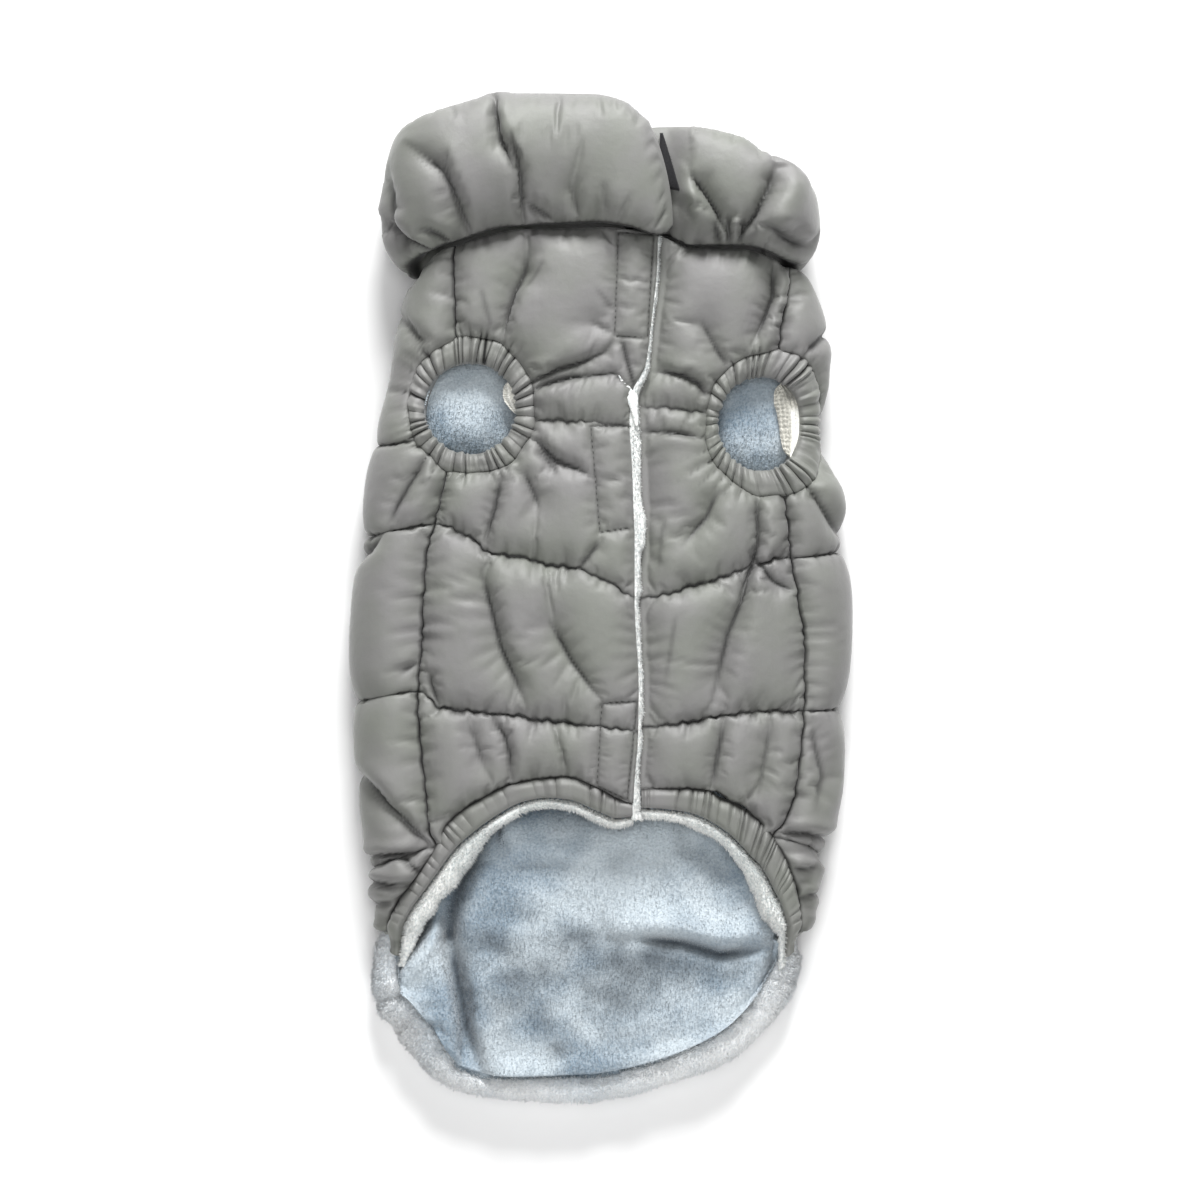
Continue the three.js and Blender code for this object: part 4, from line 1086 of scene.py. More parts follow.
@dataclass(frozen=True)
class LegHole:
    """Ellipses of a leg hole, in distance round the tube and along the coat.

    Attributes:
        x: Middle of the outer ellipse.
        y: Its place along the coat.
        outer_x: Half width of the cuff's outer seam.
        outer_y: Half length of it.
        inner_x: Half width of the opening.
        inner_y: Half length of it.
        shift_x: Middle of the opening from that of the seam.
        shift_y: The same along the coat.
        seed: Picks its pleats.
    """

    x: float
    y: float
    outer_x: float
    outer_y: float
    inner_x: float
    inner_y: float
    shift_x: float
    shift_y: float
    seed: int

    def pleats(self, angle: np.ndarray, drift: np.ndarray, count: int = 38) -> tuple[np.ndarray, np.ndarray]:
        """Work out the elastic's pleats, which cross from the cuff into the panels.

        The wave is 1 less twice a power of the sine of half the phase, so it has narrow valleys between
        broad tops. The phase wanders round the hole, so the pleats are uneven.

        Args:
            angle: Angle about the hole.
            drift: Share by which the pleats lean away from the radius.
            count: Number of pleats.

        Returns:
            The wave, 1 in a valley and -1 on a top, and its strength.
        """
        turns, edge = round_hole(angle)
        phase = count * angle + 4.6 * edge * wander(turns * 60, 2.3, self.seed)
        phase = phase + 1.4 * drift * edge * wander(turns * 60, 3.0, self.seed + 1)
        strength = np.maximum(0.95 + 1.1 * edge * wander(turns * 100, 2.6, self.seed + 2), 0.15)
        return 1 - 2 * np.abs(np.sin(phase / 2)) ** 0.65, strength

    def rim(self, angle: np.ndarray) -> np.ndarray:
        """Return the seam's distance from the middle as a share of its ellipse's, pulled in by pleats."""
        turns, edge = round_hole(angle)
        fine, coarse = wander(turns * 60, 2.7, self.seed + 4), wander(turns * 60, 9, self.seed + 5)
        return 1 + edge * (0.03 * fine + 0.03 * coarse)

    def ring(self, around: np.ndarray, y: np.ndarray) -> tuple[np.ndarray, np.ndarray]:
        """Return each point's distance outside the cuff's seam, and its angle about the middle."""
        _, middle, _ = TUBE.section(y)
        dx, dy = (around + middle - self.x) / self.outer_x, (y - self.y) / self.outer_y
        angle = np.arctan2(dy, dx)
        return (np.hypot(dx, dy) - self.rim(angle)) * (self.outer_x + self.outer_y) / 2, angle

    def spread(self, ring: np.ndarray, angle: np.ndarray) -> tuple[np.ndarray, np.ndarray]:
        """Return the height that the pleats give the panel beside the cuff, and the painted shade in their
        valleys.
        """
        wave, strength = self.pleats(angle, np.zeros(1))
        turns, _ = round_hole(angle)
        off = np.maximum(ring, 0)
        far = 4.0 + 9.0 * smooth(wander(turns * 60, 2.9, self.seed + 6) - 0.1)
        # Painted shade in the pleats' valleys.
        painted_shading_and_tone = 0.95 * strength * smooth((wave - 0.3) * 1.8) * np.exp(-off / (0.6 * far))
        return -0.95 * strength * wave * np.exp(-off / far), painted_shading_and_tone

    def snap(self, around: np.ndarray, y: np.ndarray, cut: np.ndarray) -> tuple[np.ndarray, np.ndarray]:
        """Move the grid points that edge the cut faces onto the seam's ellipse.

        Args:
            around: Distance round the tube of each grid point.
            y: Place along the coat of each grid point.
            cut: True for each grid face inside the hole.

        Returns:
            The two grids with those points moved.
        """
        beside = np.zeros(around.shape, bool)
        for rows in (slice(0, -1), slice(1, None)):
            for columns in (slice(0, -1), slice(1, None)):
                beside[rows, columns] |= cut
        _, middle, _ = TUBE.section(y)
        dx, dy = around + middle - self.x, y - self.y
        size = np.maximum(np.hypot(dx / self.outer_x, dy / self.outer_y), 1e-6)
        size = size / self.rim(np.arctan2(dy / self.outer_y, dx / self.outer_x))
        return (
            np.where(beside, self.x - middle + dx / size, around),
            np.where(beside, self.y + dy / size, y),
        )


HOLES = {
    Side.LEFT: LegHole(-63.5, 96.5, 31, 35, 23, 22.7, -1, -1.5, 11),
    Side.RIGHT: LegHole(84, 87, 33, 36, 21.5, 23.5, -4, 0.5, 23),
}


@dataclass
class LegCuff:
    """Elastic cuff round a leg hole: a band of shell cloth gathered into radial pleats.

    Attributes:
        side: Side of the coat.
        finishes: The coat's materials.
        roll: Height of the band between its seams.
    """

    side: Side
    finishes: Finishes
    roll: float = 3.4

    def build(self) -> None:
        """Build the cuff.

        Across runs from a little outside the seam to the opening, then down and back along its inside.
        The height is a power of a half sine times the roll. Each pleat is a wave along the angle whose
        phase wanders, so the pleats are uneven, with narrow valleys between broad tops.
        """
        hole = HOLES[self.side]
        count = 560
        angle = np.linspace(0, 2 * np.pi, count, endpoint=False)[:, None]
        across = np.concatenate([np.linspace(-0.11, 1, 26), np.full(7, 1.0), np.linspace(0.9, 0.0, 7)])
        level = np.concatenate([np.zeros(26), np.linspace(-1.2, -WALL + 0.5, 7), np.full(7, -WALL)])
        wave, strength = hole.pleats(angle, across)
        rise = np.sin(np.pi * np.clip(across, 0, 1)) ** np.where(across < 0.5, 0.8, 0.55)
        top = (np.arange(len(across)) < 26).astype(float)
        turns, inside = round_hole(angle)
        pleat = -strength * wave * mix(0.95, 1.2 * (0.7 + 0.3 * rise), smooth(across / 0.25))
        wrinkles = mottle(200 * turns + 0 * across, 6 * across + 0 * turns, 2.4, hole.seed + 8)
        pleat = pleat + 0.45 * inside * wrinkles
        h = level + top * (self.roll * rise + pleat + 1.4 * (1 - smooth(across / 0.4)))
        h = h + (1 - top) * 0.4 * pleat * (level > -WALL + 1) - 3.6 * smooth(-across / 0.11)
        nip = 0.6 * strength * wave * top * smooth((across - 0.8) / 0.2)
        rim, cosine, sine = hole.rim(angle), np.cos(angle), np.sin(angle)
        opening_x = hole.x + hole.shift_x + (hole.inner_x + nip) * cosine
        opening_y = hole.y + hole.shift_y + (hole.inner_y + nip) * sine
        x = mix(hole.x + hole.outer_x * rim * cosine, opening_x, across)
        y = mix(hole.y + hole.outer_y * rim * sine, opening_y, across)
        _, middle, _ = TUBE.section(y)
        points, _ = TUBE.place(x - middle, y, h)
        # Painted shade: a dark line at the outer seam and in the pleats' valleys.
        edge = 0.45 * bump(across, 0.04) * smooth(0.2 + wander(turns * 60, 4.0, hole.seed + 3))
        painted_shading_and_tone = np.clip(top * (edge + 0.9 * strength * smooth((wave - 0.3) * 1.8)), 0, 1)
        name = f"cuff_{self.side.value}"
        obj = sweep(points, True, np.broadcast_to(painted_shading_and_tone, points.shape[:2])).make(
            name, [self.finishes.shell], f"leg_cuff_{self.side.value}"
        )


@dataclass
class HoleFacing:
    """Lining of the leg hole that shows inside the opening, where it is turned in under the cuff.

    Attributes:
        side: Side of the coat.
        finishes: The coat's materials.
    """

    side: Side
    finishes: Finishes

    def build(self) -> None:
        """Build the strip.

        It hangs from the opening's rim between two angles. Its width is a half sine between them, its
        height falls as it goes inwards, and ribs run along it as waves across, with painted shade between
        them. On the right side the half beside the rim is loose pile below and has painted shadow above.
        """
        hole = HOLES[self.side]
        first, last, width = (0.68, -0.14, 6.0) if self.side is Side.LEFT else (1.15, -0.85, 13.5)
        t = np.linspace(0, 1, 64)[:, None]
        v = np.linspace(0, 1, 26)[None]
        angle = mix(first, last, t)
        uneven = 1 + 0.05 * wander(t * 40, 6.0, hole.seed + 5)
        inward = (1.5 + width * np.sin(np.pi * t) ** 0.8 * uneven) * v - 1.5
        x = hole.x + hole.shift_x + hole.inner_x * np.cos(angle) - inward
        y = hole.y + hole.shift_y + (hole.inner_y * np.sin(angle)) * (1 - 0.12 * v)
        ribs = 0.4 * np.sin(2 * np.pi * (v * width / 2.6 + 0.5 * wander(t * 40, 5.0, hole.seed + 6)))
        knots = 0.3 * np.sin(2 * np.pi * t * 17 + 2 * wander(t * 40, 4.0, hole.seed + 9))
        knots = knots * smooth((v - 0.5) / 0.1)
        h = -2.4 - 0.2 * inward + 1.0 * np.sin(np.pi * v) + (ribs + knots) * smooth(v / 0.2)
        _, middle, _ = TUBE.section(y)
        top, _ = TUBE.place(x - middle, y, h)
        under, _ = TUBE.place(x - middle, y, h - 1.2)
        # Painted shade between the ribs, over a base tone, paler on the left.
        shade = 0.35 * smooth(-(ribs + knots) / 0.5) + (0.1 if self.side is Side.RIGHT else -0.5)
        if self.side is Side.RIGHT:
            beside_rim = smooth((0.52 - v) / 0.1)
            shade = mix(shade, -0.7, beside_rim * smooth((t - 0.36) / 0.08))
            # Painted shadow over the upper half beside the rim.
            shade = mix(shade, 0.7, beside_rim * smooth((0.34 - t) / 0.08))
        surface = wall(top, under, np.broadcast_to(shade, top.shape[:2]))
        obj = surface.make(f"cuff_facing_{self.side.value}", [self.finishes.facing, self.finishes.facing])


LEFT_ROWS = (
    Curve([0.0, 0.46, 0.75, 1.0], [82, 89, 88.5, 86.5]),
    Curve([0.0, 0.13, 0.24, 0.29, 0.47, 0.54, 0.73, 0.9, 1.0], [37.5, 34, 28, 24, 21, 18.5, 15.5, 7.5, 1.5]),
    Curve([0.0, 0.05, 0.09, 0.21, 0.45, 0.64, 0.83, 1.0], [-45.5, -48, -53, -54.5, -57.5, -60, -62.5, -64.5]),
)
RIGHT_ROWS = (
    Curve([0.0, 0.42, 0.58, 0.75, 1.0], [91, 93.5, 95, 96, 96]),
    Curve([0.0, 0.215, 0.315, 0.515, 0.73, 1.0], [21, 17, 13, 7, 1.5, 0]),
    Curve([0.0, 0.2, 0.49, 0.755, 1.0], [-55, -55, -59, -62.5, -63]),
)
PATCHES = (
    ((9, 182), (7.3, 130.5), (23.5, 130), (26.5, 180.5)),
    ((-4.5, 86), (0, 33.5), (17.0, 36), (16.2, 86)),
    ((1, -51), (-1.5, -92), (13.5, -99), (18.3, -50)),
)
LEFT_CREASES = (
    Crease(((-35.5, 172), (-37, 162), (-42, 152), (-45.5, 140.5), (-48, 127.5)), 3.9, 3.0, 0.7),
    Crease(((-27, 167), (-37, 154)), 1.4, 4.0, 0.4, 0.0),
    Crease(((-73, 150.5), (-78, 140.5)), 1.6, 3.0),
    Crease(((-58.5, 154), (-53, 134)), 1.5, 3.5, -0.5, 0.1),
    Crease(((-2.5, 154), (7.5, 142.5)), 1.4, 3.5, 0.4, 0.1),
    Crease(((-4, 137.5), (7, 131.5)), 1.7, 3.0, -0.5, 0.2),
    Crease(((-35.5, 107.5), (-20, 114.5), (-8, 118), (2, 122.5), (8.5, 129.5)), 3.9, 2.6, 0.7, 0.7),
    Crease(((-35.5, 103.5), (-24, 107.5), (-14, 110), (7, 112), (13, 106.5), (17, 103)), 4.1, 2.2, -0.6, 0.8),
    Crease(((8.5, 129.5), (11.5, 126.5), (13, 119.5), (14.5, 114), (18, 101)), 3.0, 2.2, -0.6, 0.7),
    Crease(((-49, 59.5), (-52, 44.5), (-57, 28)), 2.8, 2.6, 0.6, 0.4),
    Crease(((-37, 62.5), (-32, 51), (-29.5, 44.5)), 2.1, 3.0, -0.6, 0.3),
    Crease(((-32, 79.5), (-22, 69.5), (-10.5, 64.5), (-2.5, 59.5)), 3.7, 2.6, 0.7, 0.6),
    Crease(((-30.5, 74.5), (-20.5, 62.5)), 1.8, 2.6, -0.5, 0.4),
    Crease(((-0.5, 28), (-10.5, 15.5)), 2.1, 3.0, 0.5, 0.3),
    Crease(((-58.5, 14.5), (-53, -7), (-49, -23), (-37, -49.5)), 3.4, 3.6, 0.8, 0.3),
    Crease(((-40.5, 16.5), (-30, -15.5)), -1.6, 5.0, 0.0, 0.0),
    Crease(((-24.5, -10.5), (-14, -30), (0.5, -49.5)), 2.5, 2.4, 0.7, 0.5),
    Crease(((-53, -59), (-47, -67.5), (-44.5, -77), (-44.5, -88.5)), 2.3, 3.2, 0.6, 0.3),
    Crease(((-84, -36), (-83.5, -41.5), (-80, -51)), 1.8, 2.6),
    Crease(((-64, -62), (-57, -84)), 1.8, 4.0, -0.6, 0.1),
    Crease(((-22, -64), (-16, -84)), 1.5, 4.0, 0.6, 0.1),
)
RIGHT_CREASES = (
    Crease(((85.5, 165.5), (85.5, 150.5), (80.5, 137.5), (75.5, 127.5)), 3.9, 3.2, 0.7),
    Crease(((50.5, 137.5), (57.5, 124), (64, 114)), 2.1, 3.6, -0.6, 0.2),
    Crease(((26.5, 113.5), (41, 111.5), (48.5, 107.5), (53, 100)), 3.4, 2.4, 0.6, 0.7),
    Crease(((20, 84.5), (36, 82.5), (50.5, 80)), 2.8, 2.4, -0.6, 0.6),
    Crease(((57.5, 52.5), (52.5, 41), (41, 28)), 2.5, 3.6, 0.7, 0.2),
    Crease(((77.5, 51), (78, 28), (75, 16), (69, 1.5)), 3.7, 2.8, 0.7, 0.4),
    Crease(((77.5, 19.5), (85.5, 9.5), (96, 4)), 2.5, 3.0, 0.5, 0.4),
    Crease(((74.5, 14.5), (71, 2), (63, -17.5), (59.5, -32), (55.5, -49.5)), 3.7, 3.6, 0.8, 0.3),
    Crease(((61, -62), (57.5, -80), (55.5, -92.5)), 2.5, 3.0, 0.6, 0.3),
    Crease(((33, 40), (30, 14)), 1.4, 5.0, 0.5, 0.0),
    Crease(((38, -8), (33, -40)), 1.4, 6.0, -0.5, 0.0),
    Crease(((84, -64), (78, -98)), 1.7, 4.5, 0.6, 0.1),
)


@dataclass
class FrontPanel:
    """A quilted front, from its side seam to its free edge.

    The left front laps over the right one, and its edge there is pressed flat and stitched to tape.

    Attributes:
        side: Side of the coat.
        finishes: The coat's materials.
        columns: Grid faces across the panel.
        rows: Grid faces along each quilted chamber.
    """

    side: Side
    finishes: Finishes
    columns: int = 96
    rows: tuple[int, ...] = (76, 56, 60, 44)

    def plan(self, shares: np.ndarray) -> tuple[np.ndarray, np.ndarray, np.ndarray]:
        """Lay the panel's grid out in plan.

        A column keeps its share of the way from the side seam to the free edge, and a row its share of
        the way from one quilting seam to the next.

        Args:
            shares: Share of each column.

        Returns:
            x, y and the row's place counted in chambers.
        """
        is_left = self.side is Side.LEFT
        inward = 1.0 if is_left else -1.0

        def across(y: np.ndarray) -> np.ndarray:
            edge = PLACKET_X(y) - (0.0 if is_left else UNDERLAP)
            return mix(TUBE.seam(self.side, y) + inward * SEAM_GAP / 2, edge, shares)

        top, bottom = (float(NECK_Y(-72)), -123.0) if is_left else (float(NECK_Y(94)), -118.0)
        hem = (LEFT_HEM if is_left else RIGHT_HEM).curve("x", "y")
        lines = [NECK_Y(across(np.full(shares.shape, 178.0)))]
        lines[0] = mix(np.full(shares.shape, top), lines[0], smooth(shares / 0.08))
        lines += [
            row(shares) + 0.6 * wander(shares * 100 + 7 * number, 2.6, 37) * smooth(shares / 0.05)
            for number, row in enumerate(LEFT_ROWS if is_left else RIGHT_ROWS)
        ]
        last = hem(across(np.full(shares.shape, -112.0))) + SEAM_GAP
        lines.append(mix(np.full(shares.shape, bottom), last, smooth(shares / 0.08)))
        ys, vs = [], []
        for chamber, count in enumerate(self.rows):
            t = ends_first(count)
            t = t if chamber == len(self.rows) - 1 else t[:-1]
            ys.append(mix(lines[chamber][None], lines[chamber + 1][None], t[:, None]))
            vs.append(chamber + t)
        y = np.concatenate(ys)
        return across(y), y, np.concatenate(vs)[:, None]

    def patch_line(self, x: np.ndarray, y: np.ndarray) -> np.ndarray:
        """Return each point's distance to the nearest stitched patch outline."""
        return np.minimum.reduce([from_line(patch + patch[:1], x, y) for patch in PATCHES])

    def height(
        self, x: np.ndarray, y: np.ndarray, v: np.ndarray, ring: np.ndarray, angle: np.ndarray
    ) -> tuple[np.ndarray, np.ndarray, np.ndarray]:
        """Work out how far the shell stands above the seam level before it settles.

        The pad is a product of stuffed profiles away from the quilting seams, the side seam and the
        cuff. Gathers, the listed creases and a slow swell are added, and each fades at a seam.

        Args:
            x: Plan position across.
            y: Plan position along.
            v: Row's place counted in chambers.
            ring: Distance outside the cuff's seam.
            angle: Angle about the cuff.

        Returns:
            Heights, the painted shade share of each point, and whether it is held by a seam.
        """
        is_left = self.side is Side.LEFT
        seed = 100 if is_left else 200
        chamber = np.clip(np.floor(v), 0, len(self.rows) - 1)
        t = v - chamber
        size = np.abs(np.gradient(y, axis=0) / np.maximum(np.gradient(v + 0 * y, axis=0), 1e-9))
        off_row = np.minimum(t, 1 - t) * size
        off_side = np.abs(x - TUBE.seam(self.side, y))
        off_ring = np.maximum(ring, 0)
        full = pad(off_row, 17) * pad(off_side, 13) * mix(0.3, 1.0, pad(off_ring, 17))
        edge = PLACKET_X(y)
        inside = edge - x if is_left else x - edge - FLEECE_WIDTH(y)
        lap = smooth((inside - 22) / 16) if is_left else smooth((inside - 3) / 14)
        puff = PAD_HEIGHT * full * (1 + 0.12 * mottle(x, y, 34, seed))
        gathers = pucker(x, off_row, 0.9, seed + 3, 5.5) + pucker(y, off_side, 0.75, seed + 5, 4.5)
        folds, core = creases(x, y, LEFT_CREASES if is_left else RIGHT_CREASES)
        pleats, shadow = HOLES[self.side].spread(ring, angle)
        calm = np.minimum(pad(off_row, 5), pad(off_side, 5)) * pad(off_ring, 4)
        nips = np.maximum(pinches(x, off_row, seed + 11), pinches(y, off_side, seed + 13))
        h = 0.7 + 0.65 * puff + (gathers * 0.4 + folds) * calm + pleats - 0.8 * nips
        # Painted shade: dark lines along the quilting and side seams, weaker on the chest, and in crease
        # cores, pinches and pleat valleys.
        along_row = bump(off_row, 0.95) * (0.85 + 0.3 * wander(x, 3.1, seed + 15))
        painted_shading_and_tone = np.maximum(along_row, bump(off_side, 0.6) * (0.75 + 0.3 * wander(y, 3.3, seed + 17)))
        painted_shading_and_tone = np.maximum(painted_shading_and_tone * mix(0.6, 1.0, smooth((60 - y) / 40)), 0.95 * core)
        painted_shading_and_tone = np.maximum.reduce([painted_shading_and_tone, 0.5 * nips, shadow])
        held = (off_row < 0.05) | (ring < 0.3) | (core > 0.5)
        held[[0, -1]] = held[:, [0, -1]] = True
        if is_left:
            line = self.patch_line(x, y)
            flat = PLACKET + SEAM_GAP + 2.2 * pad(off_row, 12) * pad(inside, 5)
            flat = flat + 0.35 * calm * folds
            h = mix(flat, np.maximum(h, -0.8), lap)
            h = h - 0.9 * bump(line, 0.8) * (off_row > 0.5)
            # Painted shade along the patches' stitched outlines.
            painted_shading_and_tone = np.maximum(painted_shading_and_tone, 0.6 * bump(line, 0.7))
            held |= line < 0.7
        else:
            h = mix(np.zeros_like(h), np.maximum(h, -0.8), lap)
            held |= inside < 3
        return h, painted_shading_and_tone, held

    def build(self) -> None:
        """Build the front."""
        is_left = self.side is Side.LEFT
        hole = HOLES[self.side]
        shares = ends_first(self.columns, 0.35)
        x, y, v = self.plan(shares)
        around = TUBE.round_of(x, y)
        ring, _ = hole.ring(around, y)
        cut = (ring[:-1, :-1] + ring[1:, 1:]) / 2 < 0
        around, y = hole.snap(around, y, cut)
        ring, angle = hole.ring(around, y)
        h, painted_shading_and_tone, held = self.height(x, y, v, ring, angle)
        painted_shading_and_tone = np.clip(painted_shading_and_tone, 0, 1)
        start, outward = TUBE.place(around, y, h)
        quads = grid_quads(*x.shape)[~cut.ravel()]
        outer = Settling().settle(start, outward, quads, held, 16.0)
        inside = PLACKET_X(y) - x if is_left else x - PLACKET_X(y)
        padding = smooth((inside - UNDERLAP - 5) / 12) if is_left else smooth((inside - 5) / 12)
        deep = mix(np.full(x.shape, SEAM_GAP if is_left else -PLACKET), -WALL, padding)
        inner, _ = TUBE.place(around, y, deep)
        name = self.side.value
        obj = wall(outer, inner, painted_shading_and_tone, cut).make(
            f"front_{name}", [self.finishes.shell, self.finishes.plush], f"belly_{name}"
        )
        if is_left:
            self.stitching(outer)

    def stitching(self, cloth: np.ndarray) -> None:
        """Sew the patches' outlines with short stitches that lie on the settled cloth.

        A stitch is a spindle of six-sided rings: its radius is the square root of half a sine, and it
        runs from one hole to the next along the outline.

        Args:
            cloth: The settled outer points.
        """
        pitch, length, radius = 2.9, 2.1, 0.26
        places, ways = [], []
        for patch in PATCHES:
            for first, last in zip(patch, patch[1:] + patch[:1]):
                start, run = np.asarray(first, float), np.subtract(last, first)
                span = np.hypot(*run)
                steps = (np.arange(int(span / pitch)) + 0.5)[:, None] * pitch / span
                places.append(start + run * steps)
                ways.append(np.broadcast_to(run / span, (len(steps), 2)))
        place, way = np.concatenate(places), np.concatenate(ways)
        near = cloth.reshape(-1, 3)
        apart = (place[:, None, 0] - near[None, :, 0]) ** 2 + (place[:, None, 1] - near[None, :, 1]) ** 2
        level = near[np.argmin(apart, axis=1), 2] + 0.3
        t = np.linspace(-1, 1, 5)[:, None]
        turn = np.arange(6)[None] / 6 * 2 * np.pi
        thick = radius * np.sqrt(np.maximum(1 - t * t, 0.02))
        along = np.broadcast_to(t * length / 2, (5, 6))
        side, up = thick * np.cos(turn), thick * np.sin(turn)
        x = place[:, 0, None, None] + way[:, 0, None, None] * along - way[:, 1, None, None] * side
        y = place[:, 1, None, None] + way[:, 1, None, None] * along + way[:, 0, None, None] * side
        z = level[:, None, None] + up - 0.25 * along**2
        one = sweep(np.stack([x[0], y[0], z[0]], axis=-1), False).quads
        points = np.stack([x, y, z], axis=-1).reshape(-1, 3)
        quads = (np.arange(len(place))[:, None, None] * 30 + one[None]).reshape(-1, 4)
        thread = Surface(points, quads, np.zeros(len(quads), int), np.zeros(len(points)))
        thread.make("patch_stitches", [self.finishes.thread])


BACK_ROWS = (
    (float(NECK_Y(-72)), BACK_NECK, BACK_NECK, float(NECK_Y(94))),
    (82.0, 77.0, 84.0, 91.0),
    (37.5, 32.0, 23.5, 21.0),
    (-45.5, -50.0, -54.0, -55.0),
    (-123.0, LOIN_LEFT, LOIN_RIGHT, -118.0),
    (FLAP_START, FLAP_START, FLAP_START, FLAP_START),
)
SIDE_CREASES = (
    Crease(((-92.5, 140.5), (-85, 125.5)), 1.8, 3.0),
    Crease(((-87, 68.5), (-94.5, 57), (-99.5, 47), (-103, 38)), 3.2, 3.0, 0.7),
    Crease(((-97, -35), (-90.5, -30.5)), 1.8, 2.6),
    Crease(((-117, -85), (-103.5, -102), (-92.5, -114), (-82, -123.5)), 3.4, 3.4, 0.7),
    Crease(((-112, -127.5), (-99, -126.5), (-89, -125.5)), 3.4, 2.2, 0.5, 0.7),
    Crease(((-98, -127), (-93.5, -132.5), (-86, -137)), 2.8, 2.2, -0.5, 0.7),
    Crease(((-112.5, -140.5), (-100, -142), (-90, -141.5)), 3.2, 2.2, 0.5, 0.7),
    Crease(((-110, -152), (-101, -151)), 2.5, 2.2, 0.5, 0.7),
    Crease(((-121.5, 12), (-112, 24.5), (-107, 30)), 2.8, 3.0, 0.6),
    Crease(((109, 134), (100.5, 122.5)), 2.3, 3.0),
    Crease(((102, 57.5), (109, 44.5), (117, 29.5)), 3.4, 3.2, 0.7),
    Crease(((90, -115.5), (101.5, -116), (109, -118.5), (115.5, -113)), 3.2, 2.4, 0.6, 0.6),
    Crease(((95, -134.5), (104, -133)), 2.5, 2.2, 0.5, 0.7),
    Crease(((93.5, -150), (106, -146)), 2.5, 2.2, 0.5, 0.7),
    Crease(((104, -62), (108, -88), (104, -104)), 1.8, 4.0, 0.6, 0.1),
)


class TailPath:
    """The tail flap's outline, from its left corner round to its right one."""

    def __init__(self) -> None:
        """Read the outline."""
        self.x, self.y, self.roll = TAIL.path("x"), TAIL.path("y"), TAIL.path("roll")

    def at(self, share: np.ndarray, inset: np.ndarray) -> tuple[np.ndarray, np.ndarray]:
        """Return the points that lie inside the outline by an inset."""
        step = 0.02
        run_x = self.x(share + step) - self.x(share - step)
        run_y = self.y(share + step) - self.y(share - step)
        length = np.hypot(run_x, run_y)
        return self.x(share) - run_y / length * inset, self.y(share) + run_x / length * inset


TAIL_PATH = TailPath()


@dataclass
class BackGrid:
    """Places on the back, from the left seam under the body to the right one.

    Attributes:
        columns: Share of each column, from -1 at the left seam to 1 at the right one.
    """

    columns: np.ndarray

    def row_line(self, number: int) -> np.ndarray:
        """Return a row's place along the coat at each column, level under the body."""
        left_seam, left, right, right_seam = BACK_ROWS[number]
        c = self.columns
        straight = mix(left, right, np.clip((c / (1 - SIDE_SHARE) + 1) / 2, 0, 1))
        seam = np.where(c < 0, left_seam, right_seam)
        return mix(seam, straight, smooth((1 - np.abs(c)) / SIDE_SHARE))

    def layout(self, rows: tuple[int, ...], flap_rows: int) -> tuple[np.ndarray, np.ndarray, np.ndarray]:
        """Lay the rows out.

        Args:
            rows: Grid faces along each chamber.
            flap_rows: Grid faces along the tail flap.

        Returns:
            The place along the coat, the row counted in chambers, and the share of the flap.
        """
        ys, vs = [], []
        for chamber, count in enumerate(rows):
            t = ends_first(count)[:-1]
            ys.append(mix(self.row_line(chamber)[None], self.row_line(chamber + 1)[None], t[:, None]))
            vs.append(chamber + t)
        flap = np.linspace(0, 1, flap_rows + 1)
        ys.append(np.full((flap_rows + 1, len(self.columns)), FLAP_START))
        vs.append(len(rows) + flap)
        v = np.concatenate(vs)[:, None]
        return np.concatenate(ys), v, np.clip(v - len(rows), 0, 1)

    def near(self, side: Side, around: np.ndarray, y: np.ndarray) -> np.ndarray:
        """Return each point's distance outside a leg hole's seam, FAR where the hole can't reach it."""
        mine = (self.columns < 0) if side is Side.LEFT else (self.columns > 0)
        ring, _ = HOLES[side].ring(around, y)
        return np.where(mine[None] & (np.abs(self.columns[None]) > 0.6), ring, FAR)

    def around(self, y: np.ndarray) -> np.ndarray:
        """Return how far round the tube each grid point lies."""
        radius, _, flat = TUBE.section(y)
        c = self.columns[None]
        seam = np.where(c < 0, TUBE.seam(Side.LEFT, y), TUBE.seam(Side.RIGHT, y))
        clear = 0.4 * smooth((-118 - y) / 6)
        edge = np.abs(TUBE.round_of(seam, y)) + SEAM_GAP / 2 + clear
        half = 2 * flat + np.pi * radius
        return np.where(c < 0, -1.0, 1.0) * (half - np.abs(c) * (half - edge))

    def place(self, around: np.ndarray, y: np.ndarray, flap: np.ndarray, h: np.ndarray) -> np.ndarray:
        """Find points on the back.

        On the tube they are the tube's. On the flap they run straight from the tube's end to the tail's
        outline, sink to the surface that the coat rests on, and curl up a little at the edge.

        Args:
            around: Distance round the tube.
            y: Place along the tube.
            flap: Share of the flap, 0 on the tube.
            h: Height above the seam level.

        Returns:
            The points.
        """
        on_tube, _ = TUBE.place(around, y, h)
        start, normal = TUBE.place(around, y, np.zeros(around.shape))
        fan = Curve(list(BACK_FAN), list(np.linspace(0, 1, len(BACK_FAN))))(self.columns)[None]
        end_x, end_y = TAIL_PATH.at(fan, TAIL_PATH.roll(fan) + FLAP_GAP)
        down = np.zeros_like(normal)
        down[..., 2] = -1
        out = mix(normal, down, smooth(flap * 1.6)[..., None])
        out /= np.linalg.norm(out, axis=-1, keepdims=True)
        curl = FLAP_CURL * smooth((flap - 0.8) / 0.2)
        z = start[..., 2] * (1 - smooth(flap * 1.5)) + curl
        x = mix(start[..., 0], end_x, flap)
        spot = np.stack([x, mix(start[..., 1], end_y, flap), z], axis=-1)
        spot = spot + out * np.asarray(h)[..., None]
        return np.where(flap[..., None] > 0, spot, on_tube)


